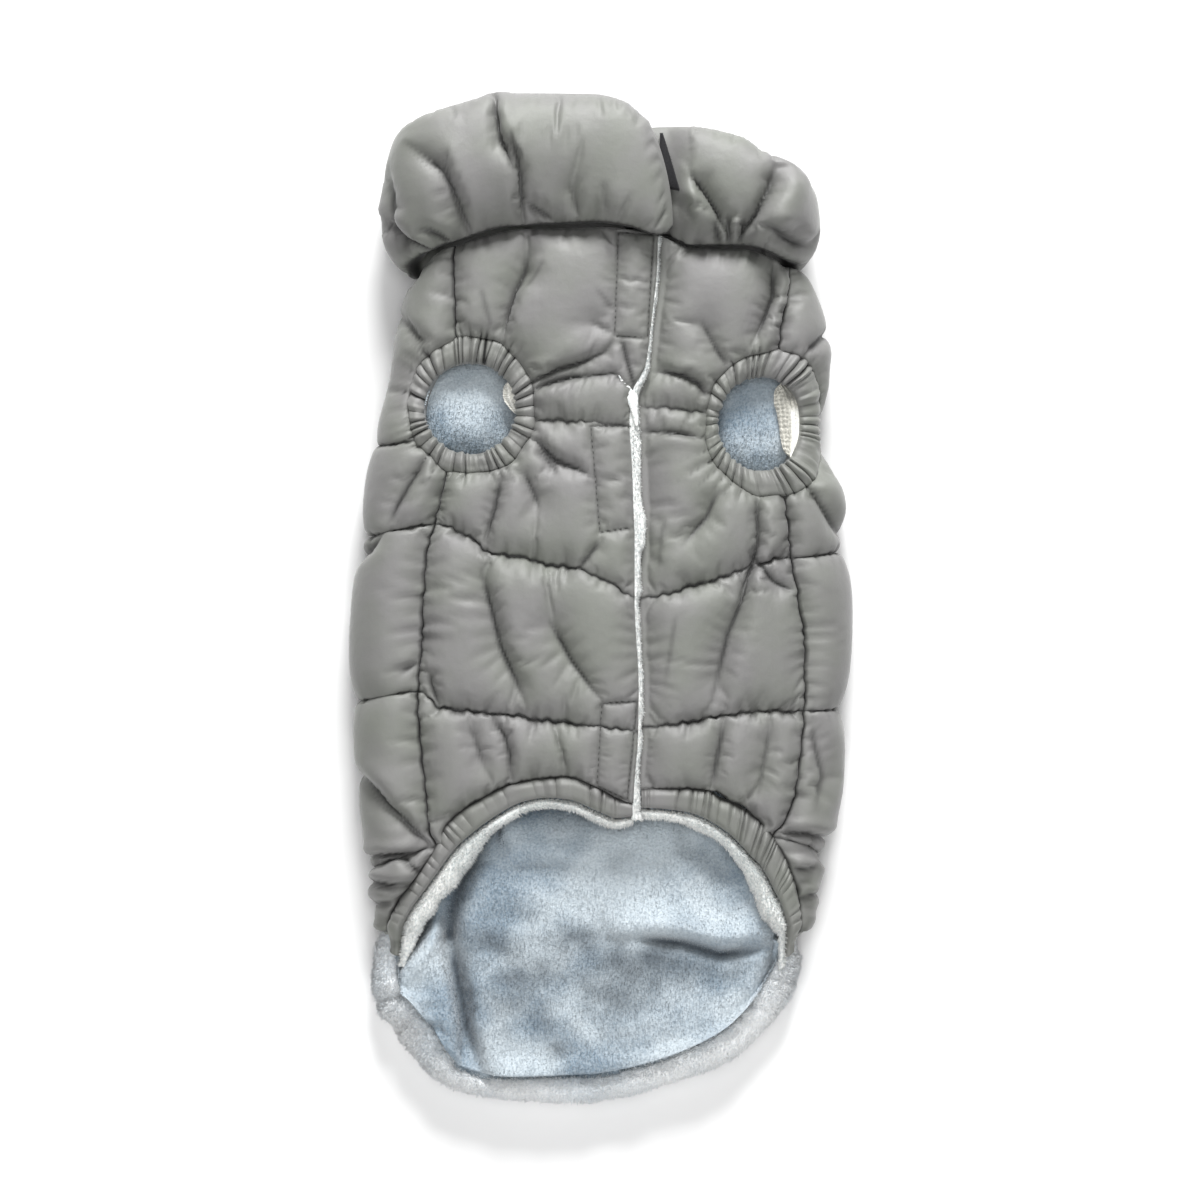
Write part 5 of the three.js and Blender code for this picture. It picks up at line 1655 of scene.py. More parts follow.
FAN_SIDE = (0.16, 0.32, 0.46, 0.57, 0.62, 0.665, 0.71, 0.755, 0.8, 0.845, 0.89, 0.935, 1.0)
BACK_FAN = tuple(-c for c in reversed(FAN_SIDE)) + (0.0,) + FAN_SIDE


def back_columns(sides: int, under: int) -> np.ndarray:
    """Return the back's column shares, close together at the sides and wider under the body."""
    low = np.linspace(0.0, 0.56, under + 1)[:-1]
    high = np.linspace(0.56, 1.0, sides + 1)
    half = np.concatenate([low, high])
    return np.concatenate([-half[::-1], half[1:]])


@dataclass
class BackPanel:
    """The quilted back: the sides that curl up round the body, the underside and the tail flap.

    Attributes:
        finishes: The coat's materials.
        rows: Grid faces along each quilted chamber.
        flap_rows: Grid faces along the tail flap.
    """

    finishes: Finishes
    rows: tuple[int, ...] = (54, 38, 50, 50, 28)
    flap_rows: int = 18

    def build(self) -> None:
        """Build the back.

        The pad is a product of stuffed profiles away from the quilting rows, the side seams and the
        cuffs. It fades where the cloth turns under to rest on the floor.
        """
        grid = BackGrid(back_columns(54, 22))
        y, v, flap = grid.layout(self.rows, self.flap_rows)
        around = grid.around(y)
        flap = np.broadcast_to(flap, y.shape)
        ring = np.full(y.shape, FAR)
        pleats, shadow = np.zeros(y.shape), np.zeros(y.shape)
        cut = np.zeros((y.shape[0] - 1, y.shape[1] - 1), bool)
        for side, hole in HOLES.items():
            reached = grid.near(side, around, y)
            faces = (reached[:-1, :-1] + reached[1:, 1:]) / 2 < 0
            around, y = hole.snap(around, y, faces)
            near, turn = hole.ring(around, y)
            near = np.where(reached < FAR - 1, near, FAR)
            rise, dark = hole.spread(near, turn)
            pleats, shadow = pleats + rise, np.maximum(shadow, dark)
            ring = np.minimum(ring, near)
            cut |= faces
        base = grid.place(around, y, flap, np.zeros(y.shape))
        _, normal = TUBE.place(around, y, np.zeros(y.shape))
        steep = np.degrees(np.arccos(np.clip(normal[..., 2], -1, 1)))
        show = np.clip((172 - steep) / 50, 0, 1) * (1 - smooth(flap * 4))
        t = v - np.floor(v)
        size = np.abs(np.gradient(y, axis=0) / np.maximum(np.gradient(v + 0 * y, axis=0), 1e-9))
        off_row = np.where(flap > 0, 0.0, np.minimum(t, 1 - t) * size)
        off_side = (1 - np.abs(grid.columns[None])) * 165
        off_ring = np.maximum(ring, 0)
        full = pad(off_row, 17) * pad(off_side, 13) * mix(0.3, 1.0, pad(off_ring, 17))
        puff = PAD_HEIGHT * full * (1 + 0.12 * mottle(around, y, 34, 301))
        gathers = pucker(around, off_row, 0.9, 303, 5.5) + pucker(y, off_side, 0.75, 305, 4.5)
        upper = smooth((base[..., 2] - 6) / 8)
        folds, core = (upper * part for part in creases(base[..., 0], base[..., 1], SIDE_CREASES))
        calm = np.minimum(pad(off_row, 5), pad(off_side, 5)) * pad(off_ring, 4)
        bunch = smooth((-112 - y) / 20) * 2.2 * wander(y + 0.3 * around, 4.2, 311) * pad(off_side, 5)
        nips = np.maximum(pinches(around, off_row, 313), pinches(y + 0 * around, off_side + 0 * y, 315))
        nips = np.where(flap > 0, 0.0, nips)
        h = (0.7 + 0.65 * puff + (0.4 * gathers + folds + bunch) * calm + pleats - 0.8 * nips) * show
        start = grid.place(around, y, flap, h)
        outward = grid_normals(start, grid.place(around, y, flap, h + 1) - start)
        held = (off_row < 0.05) | (ring < 0.3) | (core > 0.5) | (flap > 0) | (show < 0.02)
        held[[0, -1]] = held[:, [0, -1]] = True
        quads = grid_quads(*y.shape)[~cut.ravel()]
        outer = Settling().settle(start, outward, quads, held, 7.0)
        outer[..., 2] = np.maximum(outer[..., 2], 0.0)
        inner = grid.place(around, y, flap, np.full(y.shape, -WALL))
        # Painted shade along the quilting and side seams, in pleat valleys, crease cores and pinches.
        along_row = bump(off_row, 0.95) * (0.85 + 0.3 * wander(around, 3.1, 317))
        painted_shading_and_tone = np.maximum(along_row, bump(off_side, 0.6) * (0.75 + 0.3 * wander(y, 3.3, 319))) * (flap == 0)
        painted_shading_and_tone = np.clip(np.maximum.reduce([painted_shading_and_tone, shadow, 0.9 * core, 0.42 * nips]), 0, 1)
        surface = wall(outer, inner, painted_shading_and_tone, cut)
        obj = surface.make("back", [self.finishes.shell, self.finishes.plush], "back_panel")


@dataclass
class BackLining:
    """Plush lining of the back, which shows on the tail flap and through the leg holes.

    Attributes:
        finishes: The coat's materials.
        hole_rise: Height of the rise under each leg hole, a guess set by how the lining catches light.
        pillows: Stuffed rises of the tail flap.
        folds: Folds of the tail flap.
        shading_bands: Bands of painted light and painted shade on the pile.
    """

    finishes: Finishes
    hole_rise: float = 14.5
    pillows: tuple[Pillow, ...] = (
        Pillow(
            (
                (-52, -100), (-62.5, -120), (-67.5, -137.5), (-74, -160), (-73.5, -171), (-71, -184),
                (-67.5, -199), (-65.5, -214), (-62, -228), (-57, -238), (-50, -243), (-26, -242),
                (-4, -239), (20, -235), (40, -232), (56, -226), (70, -216), (78, -202), (85, -182),
                (88, -166), (86, -150), (76, -128), (64, -112), (40, -100),
            ),
            9.0,
            13.0,
        ),
        Pillow(
            (
                (-78, -140), (-84, -156), (-92, -170), (-103, -184), (-104, -198), (-97, -206),
                (-86, -214), (-78, -226), (-70, -232), (-69, -214), (-72, -197), (-76, -180), (-79, -160),
            ),
            10.0,
            9.0,
        ),
    )
    folds: tuple[Crease, ...] = (
        Crease(
            ((-57, -116), (-63.5, -127), (-69, -140), (-75.5, -160), (-75, -171)), 8.0, 4.6, 0.0, 0.4, 3.6
        ),
        Crease(
            ((-75, -171), (-72.5, -184), (-69.5, -199), (-67, -214), (-61, -229)), 5.0, 4.5, 0.0, 0.3, 2.6
        ),
        Crease(((-83, -156), (-91, -170), (-98, -180), (-103, -190)), 3.4, 3.0, 0.6, 0.3, 1.4),
        Crease(((-102, -205), (-95, -201), (-82, -198.5)), -3.6, 3.4, 0.0, 0.0),
        Crease(((-102, -209), (-97, -210), (-88, -212), (-80, -214)), 4.0, 2.6, 0.5, 0.4, 1.6),
        Crease(((17, -169), (41, -171.5), (60, -177), (84, -174)), 5.0, 4.6, 1.1, 0.3, 2.2),
        Crease(((-52, -109), (-49, -121.5)), 3.4, 3.0, 0.7, 0.3, 1.8),
        Crease(((-50, -121), (0, -124), (45, -121)), -2.6, 9.0, 0.0, 0.0),
        Crease(((-50, -137), (-30, -133), (-5, -137)), 1.2, 7.0, 0.4, 0.0, 3.0),
        Crease(((-62, -160), (-45, -156), (-30, -160)), 1.2, 7.0, -0.5, 0.0, 3.4),
        Crease(((0, -160), (8, -176), (2, -196), (10, -222)), 1.3, 8.0, 0.5, 0.0, 3.6),
        Crease(((-58, -200), (-48, -224)), 1.2, 6.0, -0.5, 0.0, 3.0),
        Crease(((64, -118), (75, -130), (83, -146), (87, -164)), 4.0, 3.0, 0.0, 0.3, 2.0),
    )
    shading_bands: tuple[ShadingBand, ...] = (
        ShadingBand(((-46, -119), (-30, -110), (-12, -108)), 7.0, 0.35),
        ShadingBand(((30, -114), (44, -124), (58, -138)), 7.0, 0.35),
        ShadingBand(((10, -128), (32, -134)), 9.0, 0.2),
        ShadingBand(((-66, -163), (-50, -170)), 8.0, 0.5),
        ShadingBand(((-12, -166), (4, -172), (14, -182)), 10.0, 0.55),
        ShadingBand(((-38, -180), (-10, -188), (26, -192)), 11.0, 0.4),
        ShadingBand(((24, -176), (44, -182), (66, -186)), 8.0, 0.5),
        ShadingBand(((-44, -194), (-32, -210), (-20, -226)), 11.0, 0.4),
        ShadingBand(((2, -196), (6, -214)), 8.0, 0.3),
        ShadingBand(((-72, -176), (-68, -190), (-64, -204)), 4.5, 0.6),
        ShadingBand(((-69, -142), (-75, -157), (-76, -168)), 4.2, 0.9),
        ShadingBand(((-40, -118), (-10, -120), (32, -119)), 5.0, -0.7),
        ShadingBand(((-70, -140), (-62, -152), (-50, -150)), 8.0, -0.6),
        ShadingBand(((-48, -146), (-20, -148), (10, -150)), 11.0, -0.35),
        ShadingBand(((38, -146), (58, -152), (82, -158)), 7.0, -0.6),
        ShadingBand(((28, -166), (48, -168), (66, -171)), 3.5, -0.7),
        ShadingBand(((-66, -224), (-54, -238), (-20, -238), (26, -230)), 6.0, -0.9),
        ShadingBand(((30, -222), (56, -212), (74, -196)), 10.0, -0.6),
        ShadingBand(((-84, -162), (-94, -176), (-98, -190)), 6.0, -0.7),
        ShadingBand(((-98, -203), (-80, -208)), 4.5, -0.8),
        ShadingBand(((-84, 90), (-78, 104), (-66, 113)), 10.0, -0.8),
        ShadingBand(((-72, 96), (-60, 102), (-50, 100)), 9.0, -0.5),
        ShadingBand(((-72, 80), (-62, 77), (-54, 81)), 5.0, 0.35),
        ShadingBand(((-50, 112), (-46, 104)), 4.0, 0.25),
        ShadingBand(((66, 98), (76, 107), (86, 108)), 10.0, -0.75),
        ShadingBand(((62, 90), (74, 94), (86, 92)), 9.0, -0.35),
        ShadingBand(((64, 84), (74, 81), (84, 83)), 5.0, 0.15),
        ShadingBand(((64, 74), (76, 67), (90, 70)), 7.0, -0.6),
    )

    def build(self) -> None:
        """Build the lining and the tufts that stand on what shows of it."""
        grid = BackGrid(back_columns(40, 34))
        y, _, flap = grid.layout((12, 9, 10, 12, 14), 66)
        kept = slice(4, -3)
        y, flap = y[kept], np.broadcast_to(flap, y.shape)[kept]
        around = grid.around(y)
        cut = np.zeros((y.shape[0] - 1, y.shape[1] - 1), bool)
        for side in HOLES:
            near = grid.near(side, around, y)
            cut |= (near[:-1, :-1] + near[1:, 1:]) / 2 < 2
        outer = grid.place(around, y, flap, np.full(y.shape, -LINING_DEPTH))
        inner = grid.place(around, y, flap, np.full(y.shape, -LINING_DEPTH - LINING_THICK))
        x_at, y_at = inner[..., 0], inner[..., 1]
        lumps = 0.9 * mottle(x_at, y_at, 15, 401) + 0.35 * mottle(x_at, y_at, 5, 402)
        raised = sum(pillow.relief(x_at, y_at) for pillow in self.pillows)
        folds, core = creases(x_at, y_at, self.folds)
        relief = raised + (lumps + folds) * smooth(raised / 4)
        for hole in HOLES.values():
            near = np.hypot(x_at - hole.x - hole.shift_x, y_at - hole.y - hole.shift_y)
            low = smooth((30 - inner[..., 2]) / 8)
            relief = relief + (self.hole_rise + lumps) * smooth((40 - near) / 19) * low
        inside = smooth((1 - np.abs(grid.columns[None])) / 0.1)
        inner[..., 2] += np.maximum(blur(relief, 2), 0.0) * inside
        # Painted light and shade: the bands and the crease cores, over a random mottle of tone.
        shade = sum(shading_band.tone(x_at, y_at) for shading_band in self.shading_bands) + 0.18 * mottle(x_at, y_at, 7, 403)
        shade = np.clip(np.maximum(shade, core), -1, 1)
        surface = wall(inner, outer, shade, cut)
        obj = surface.make("lining", [self.finishes.plush, self.finishes.plush], "back_lining")
        self.pile(inner, cut, shade)

    def pile(self, top: np.ndarray, cut: np.ndarray, shade: np.ndarray) -> None:
        """Stand tufts on the tail flap and under the leg holes.

        Args:
            top: Grid of the lining's upper points.
            cut: Grid faces left out.
            shade: Painted light and shade of the pile at each point, over a random mottle of tone.
        """
        rng = np.random.default_rng(409)
        a, b, d, c = top[:-1, :-1], top[:-1, 1:], top[1:, :-1], top[1:, 1:]
        middle = (a + b + c + d) / 4
        normal = np.cross(b - a, d - a)
        area = np.linalg.norm(normal, axis=-1)
        normal = normal / np.maximum(area, 1e-9)[..., None]
        normal *= np.sign(normal[..., 2:3])
        shown = (middle[..., 1] < -88) & ~cut
        for hole in HOLES.values():
            shown |= (np.hypot(middle[..., 0] - hole.x, middle[..., 1] - hole.y) < 34) & ~cut
        count = rng.poisson(np.where(shown, area * 1.55, 0.0))
        pick = np.repeat(np.arange(count.size), count.ravel())
        s, t = rng.uniform(size=(2, len(pick), 1))
        corner = [g.reshape(-1, 3)[pick] for g in (a, b, c, d)]
        roots = mix(mix(corner[0], corner[1], s), mix(corner[3], corner[2], s), t)
        tufts = plush(roots, normal.reshape(-1, 3)[pick], 1.4, 0.36, 411)
        # The pile takes the lining's painted light and shade.
        tufts.painted_shading_and_tone = np.repeat(shade[:-1, :-1].ravel()[pick], 4)
        obj = tufts.make("lining_pile", [self.finishes.plush])


@dataclass
class TailRoll:
    """The lining turned over the tail flap's edge as a soft roll, with its pile.

    Attributes:
        finishes: The coat's materials.
        height: Height of the roll.
    """

    finishes: Finishes
    height: float = 17.0

    def build(self) -> None:
        """Build the roll: a rounded section carried along the tail's outline, lumpy on top."""
        share = np.linspace(-0.045, 1.045, 280)[:, None]
        past = np.maximum(np.maximum(-share, share - 1), 0) * 330
        ends = share
        share = np.clip(share, 0.005, 0.995)
        turn = section_turns(40)
        roll = TAIL_PATH.roll(share)
        mid_x, mid_y = TAIL_PATH.at(share, roll / 2 + 0.6)
        out_x, out_y = TAIL_PATH.at(share, 0 * roll)
        length = np.hypot(out_x - mid_x, out_y - mid_y)
        way_x, way_y = (out_x - mid_x) / length, (out_y - mid_y) / length
        along = ends * 360 + 40
        lump = 1 + 0.12 * wander(along, 13, 501) + 0.06 * wander(along + 3 * turn, 4, 503)
        taper = 1 - 0.55 * smooth(past / 15)
        off = (roll / 2 + 1.5) * np.cos(turn) * lump * taper
        flatter = np.sign(np.sin(turn)) * np.abs(np.sin(turn)) ** 0.8
        height = self.height * mix(0.7, 1.0, np.sin(np.pi * share) ** 0.5) * lump * taper
        z = np.maximum(height / 2 * (1 + flatter * 1.06), 0.0)
        lift = 0.55 * past
        run = np.where(ends < 0.5, 0.35, -0.2) * past
        points = np.stack([mid_x + way_x * off + run, mid_y + way_y * off + past, z + lift], axis=-1)
        obj = sweep(points, False).make("tail_edge", [self.finishes.rolled], "tail_roll")
        upward = 0.9 * np.sin(turn) + 0 * share
        normal = np.stack([way_x * np.cos(turn), way_y * np.cos(turn), upward], axis=-1)
        rng = np.random.default_rng(505)
        upper = np.broadcast_to(np.sin(turn) > -0.35, points.shape[:2])
        pick = rng.choice(np.flatnonzero(upper.ravel()), 32000)
        jitter = rng.normal(0, 0.5, (len(pick), 3))
        roots = points.reshape(-1, 3)[pick] + jitter
        tufts = plush(roots, normal.reshape(-1, 3)[pick], 2.3, 0.4, 507)
        tufts.points[:, 2] = np.maximum(tufts.points[:, 2], 0.2)
        pile = tufts.make("tail_edge_pile", [self.finishes.rolled])


@dataclass
class HemSide:
    """Elastic hem on one side of the opening, with the fleece that shows below it.

    Attributes:
        side: Side of the coat.
        finishes: The coat's materials.
        gathers: Pleats along the band.
        reach: Where the strip ends, as a share of the hem's table.
    """

    side: Side
    finishes: Finishes
    gathers: int = 25
    reach: float = 1.07

    def strip(self, share: np.ndarray, across: np.ndarray, h: np.ndarray) -> np.ndarray:
        """Find points on the strip, where across is 0 at the stitched line and 1 at the hem's edge."""
        table = LEFT_HEM if self.side is Side.LEFT else RIGHT_HEM
        x = mix(table.path("x")(share), table.path("edge_x")(share), across)
        y = mix(table.path("y")(share), table.path("edge_y")(share), across)
        past = np.maximum(share - 1, 0) * 250
        x, y = x + past * (-0.32 if self.side is Side.LEFT else 0.05), y - 0.9 * past
        lap = smooth((0.32 - share) / 0.1) * (1.0 if self.side is Side.LEFT else 0.0)
        raised = mix(h, np.where(h > 0, h + 2, 0.5), lap)
        points, _ = TUBE.place(TUBE.round_of(x, y), y, raised)
        return points

    def build(self) -> None:
        """Build the gathered band and the fleece edge."""
        seed = 601 if self.side is Side.LEFT else 651
        share = np.linspace(0, self.reach, 480)[:, None]
        profile = Table(
            ("t", "across", "h", "wave"),
            (
                (0, -0.12, -0.2, 0.4), (0.08, 0.06, 2.0, 1.1), (0.25, 0.35, 3.6, 0.9),
                (0.42, 0.72, 3.4, 0.5), (0.55, 0.95, 1.6, 0.4), (0.62, 0.97, -1.5, 0.2),
                (0.75, 0.95, -6.6, 0.0), (0.85, 0.6, -7.4, 0.0), (1.0, -0.12, -7.4, 0.0),
            ),
        )
        t = np.linspace(0, 1, 28)[None]
        across, h = profile.curve("t", "across")(t), profile.curve("t", "h")(t)
        wave = profile.curve("t", "wave")(t)
        phase = 2 * np.pi * self.gathers * share + 4.2 * wander(share * 100, 5.1, seed)
        phase = phase + 1.3 * across * wander(share * 100, 3.0, seed + 1)
        strength = np.maximum(0.9 + 1.1 * wander(share * 100, 2.9, seed + 2), 0.1)
        strength = strength * (1 - 0.45 * smooth((share - 0.6) / 0.2))
        pleat = -(1 - 2 * np.abs(np.sin(phase / 2)) ** 0.6) * strength
        points = self.strip(share, across, h + 1.0 * wave * pleat - 6 * smooth((share - 1) / 0.07))
        # Painted shade along the stitched line and in the pleats' valleys.
        painted_shading_and_tone = np.clip(bump(t - 0.03, 0.035) * 0.9 + 0.7 * wave * smooth((-pleat - 0.3) * 1.6), 0, 1)
        name = self.side.value
        band = sweep(points, False, painted_shading_and_tone).make(f"hem_{name}", [self.finishes.shell], f"hem_band_{name}")
        self.fleece(seed)

    def fleece(self, seed: int) -> None:
        """Build the fleece edge below the band, with its pile.

        Args:
            seed: Picks the lumps.
        """
        share = np.linspace(0, self.reach + 0.012, 220)[:, None]
        turn = section_turns(20)
        reach = 0.4 + (0.85 if self.side is Side.LEFT else 0.45) * smooth((share - 0.45) / 0.3)
        lump = 1 + 0.12 * wander(share * 150, 7, seed + 5)
        across = 1.06 + reach / 2 * (1 + np.cos(turn)) * lump
        tuck = smooth((share - 0.93) / 0.15)
        h = -3.0 + 4.2 * np.sin(turn) * lump - 5 * tuck
        points = self.strip(share, across, h)
        name = self.side.value
        skin = sweep(points, False)
        edge = skin.make(f"hem_lining_{name}", [self.finishes.edging], f"hem_fleece_{name}")
        tufts, _ = edge_pile(points, np.sin(turn) > -0.4, 1.9, 0.36, (seed + 6, seed + 7))
        pile = tufts.make(f"hem_pile_{name}", [self.finishes.edging])


@dataclass
class PlacketFleece:
    """Fleece that shows along the left front's free edge.

    Attributes:
        finishes: The coat's materials.
    """

    finishes: Finishes

    def build(self) -> None:
        """Build the strip: a flattened round section along the placket's edge, with its pile."""
        y = np.linspace(180, -109, 300)[:, None]
        turn = section_turns(16)
        width = (FLEECE_WIDTH(y) - 0.9 * smooth((y - 112) / 8)) * (0.9 + 0.25 * wander(y + 200, 6, 701))
        x = PLACKET_X(y) + SEAM_GAP - 1.0 + (width + 0.6) / 2 * (1 + np.cos(turn))
        h = 3.4 + (0.9 + 0.25 * width) * np.sin(turn)
        points, _ = TUBE.place(TUBE.round_of(x, y + 0 * x), y + 0 * x, h)
        shade = np.clip(0.1 + 0.22 * mottle(x, y + 0 * x, 1.7, 705), 0, 1)
        obj = sweep(points, False, shade).make("placket_lining", [self.finishes.edging], "placket_fleece")
        shown = (np.sin(turn) > -0.3) & (np.cos(turn) > -0.5)
        tufts, pick = edge_pile(points, shown, 1.1, 0.3, (703, 707))
        tufts.painted_shading_and_tone = np.repeat(shade.ravel()[pick], 4)
        tufts.make("placket_pile", [self.finishes.edging])
        self.corner()

    def corner(self) -> None:
        """Build the corner of lining that shows where the placket's edge folds back on itself."""
        y = np.linspace(111, 86, 60)[:, None]
        turn = section_turns(16)
        left = mix(9.0, 17.5, (111 - y) / 25) + 0.4 * wander(y, 3.0, 721)
        right = np.minimum(mix(9.6, 18.6, (111 - y) / 10), 18.6) + 0.3 * wander(y, 2.3, 723)
        x = (left + right) / 2 + (right - left) / 2 * np.cos(turn)
        h = 6.3 + 1.0 * np.sin(turn)
        points, _ = TUBE.place(TUBE.round_of(x, y + 0 * x), y + 0 * x, h)
        obj = sweep(points, False).make("placket_corner", [self.finishes.edging])


COLLAR = Table(
    ("along", "low", "high", "thick", "lift", "flare", "slant"),
    (
        (12, 184.5, 230, 5, -7, 0, 0), (16, 184.5, 233, 11, -6.5, 0, 0), (33, 181, 234.5, 13, -5.5, 0, 0),
        (46, 176, 234, 23, -0.5, 1, 0), (70, 176, 229, 25, 0, 1, 0), (80, 174.5, 222, 25, 0, 2, 0),
        (97, 169.5, 212, 25, 0, 5, 0), (106, 167.6, 208, 25, 0, 5, 0), (116, 160.5, 208, 25, 0, 1, 0),
        (130, 159.5, 212, 23.5, 1, 0, 0), (207, 159.5, 236, 23.5, 1, 0, 0), (282, 159.5, 236, 23.5, 1, 0, 0),
        (300, 160.5, 232, 25, 0, 1, 0), (309, 166, 232, 25, 0, 5, 0), (318, 171, 236, 25, 0, 5, 0),
        (338, 177, 244, 26, 0.5, 1, 0), (368, 185, 250.5, 27, 1, 1, 0), (408, 186.5, 250, 25, 2.5, 0, 0),
        (427, 184, 246, 18, 7, 0, 3), (441, 180, 239, 15, 7, 0, 8), (446, 181, 235, 11, 6.5, 0, 9),
        (448.5, 184, 230, 5, 6, 0, 9),
    ),
)
COLLAR_CREASES = (
    Crease(((360.5, 247), (361.5, 239), (364, 227), (368, 218), (370.5, 210)), 4.4, 3.0, 0.8, 0.5),
    Crease(((369, 227), (372, 217), (373.5, 206), (374, 195), (375, 187)), 3.6, 3.0, -0.6, 0.5),
    Crease(((329, 220), (335.5, 212), (340.5, 202), (345.5, 189), (349.5, 180)), 3.4, 3.2, 0.7, 0.4),
    Crease(((327.5, 185.5), (335.5, 179.5), (340.5, 176)), 2.6, 2.6, 0.6, 0.6),
    Crease(((377, 196), (389.5, 188)), 2.2, 3.0, 0.6, 0.3),
    Crease(((45.5, 208.5), (51.5, 200.5), (58, 191), (62, 183)), 5.4, 3.2, -0.8, 0.5),
    Crease(((84, 213), (81.5, 202), (77, 191), (72, 185.5), (67, 180.5)), 6.0, 3.4, 0.8, 0.5),
    Crease(((312, 191), (320, 181.5), (325.5, 175.5), (330, 172)), 3.6, 3.0, 0.7, 0.4),
    Crease(((63, 190), (64, 176)), 4.0, 2.2, 0.6, 0.6),
    Crease(((71, 188), (69, 176)), 3.0, 1.8, -0.6, 0.6),
    Crease(((57, 186), (59, 176)), 2.6, 1.8, 0.6, 0.6),
    Crease(((80, 186), (92, 180), (100, 178)), 3.4, 2.6, 0.7, 0.5),
    Crease(((82, 222), (92, 212), (96, 202)), -1.6, 4.0, 0.0, 0.0),
    Crease(((398, 204), (402, 190)), 1.6, 3.0, 0.6, 0.3),
    Crease(((414, 206), (416, 190)), 1.4, 3.0, 0.6, 0.3),
    Crease(((150, 196), (153, 162)), 2.8, 4.0, 0.6, 0.3),
    Crease(((182, 204), (178, 162)), 2.6, 4.0, -0.6, 0.3),
    Crease(((214, 200), (217, 162)), 2.8, 4.0, 0.6, 0.3),
    Crease(((243, 206), (240, 162)), 2.2, 4.0, 0.6, 0.3),
    Crease(((270, 198), (274, 162)), 2.6, 4.0, -0.6, 0.3),
    Crease(((120, 190), (122, 163)), 2.4, 3.6, 0.6, 0.3),
    Crease(((300, 204), (304, 166)), 2.6, 3.6, 0.6, 0.3),
    Crease(((316, 210), (318, 174)), 2.4, 3.2, -0.6, 0.4),
)


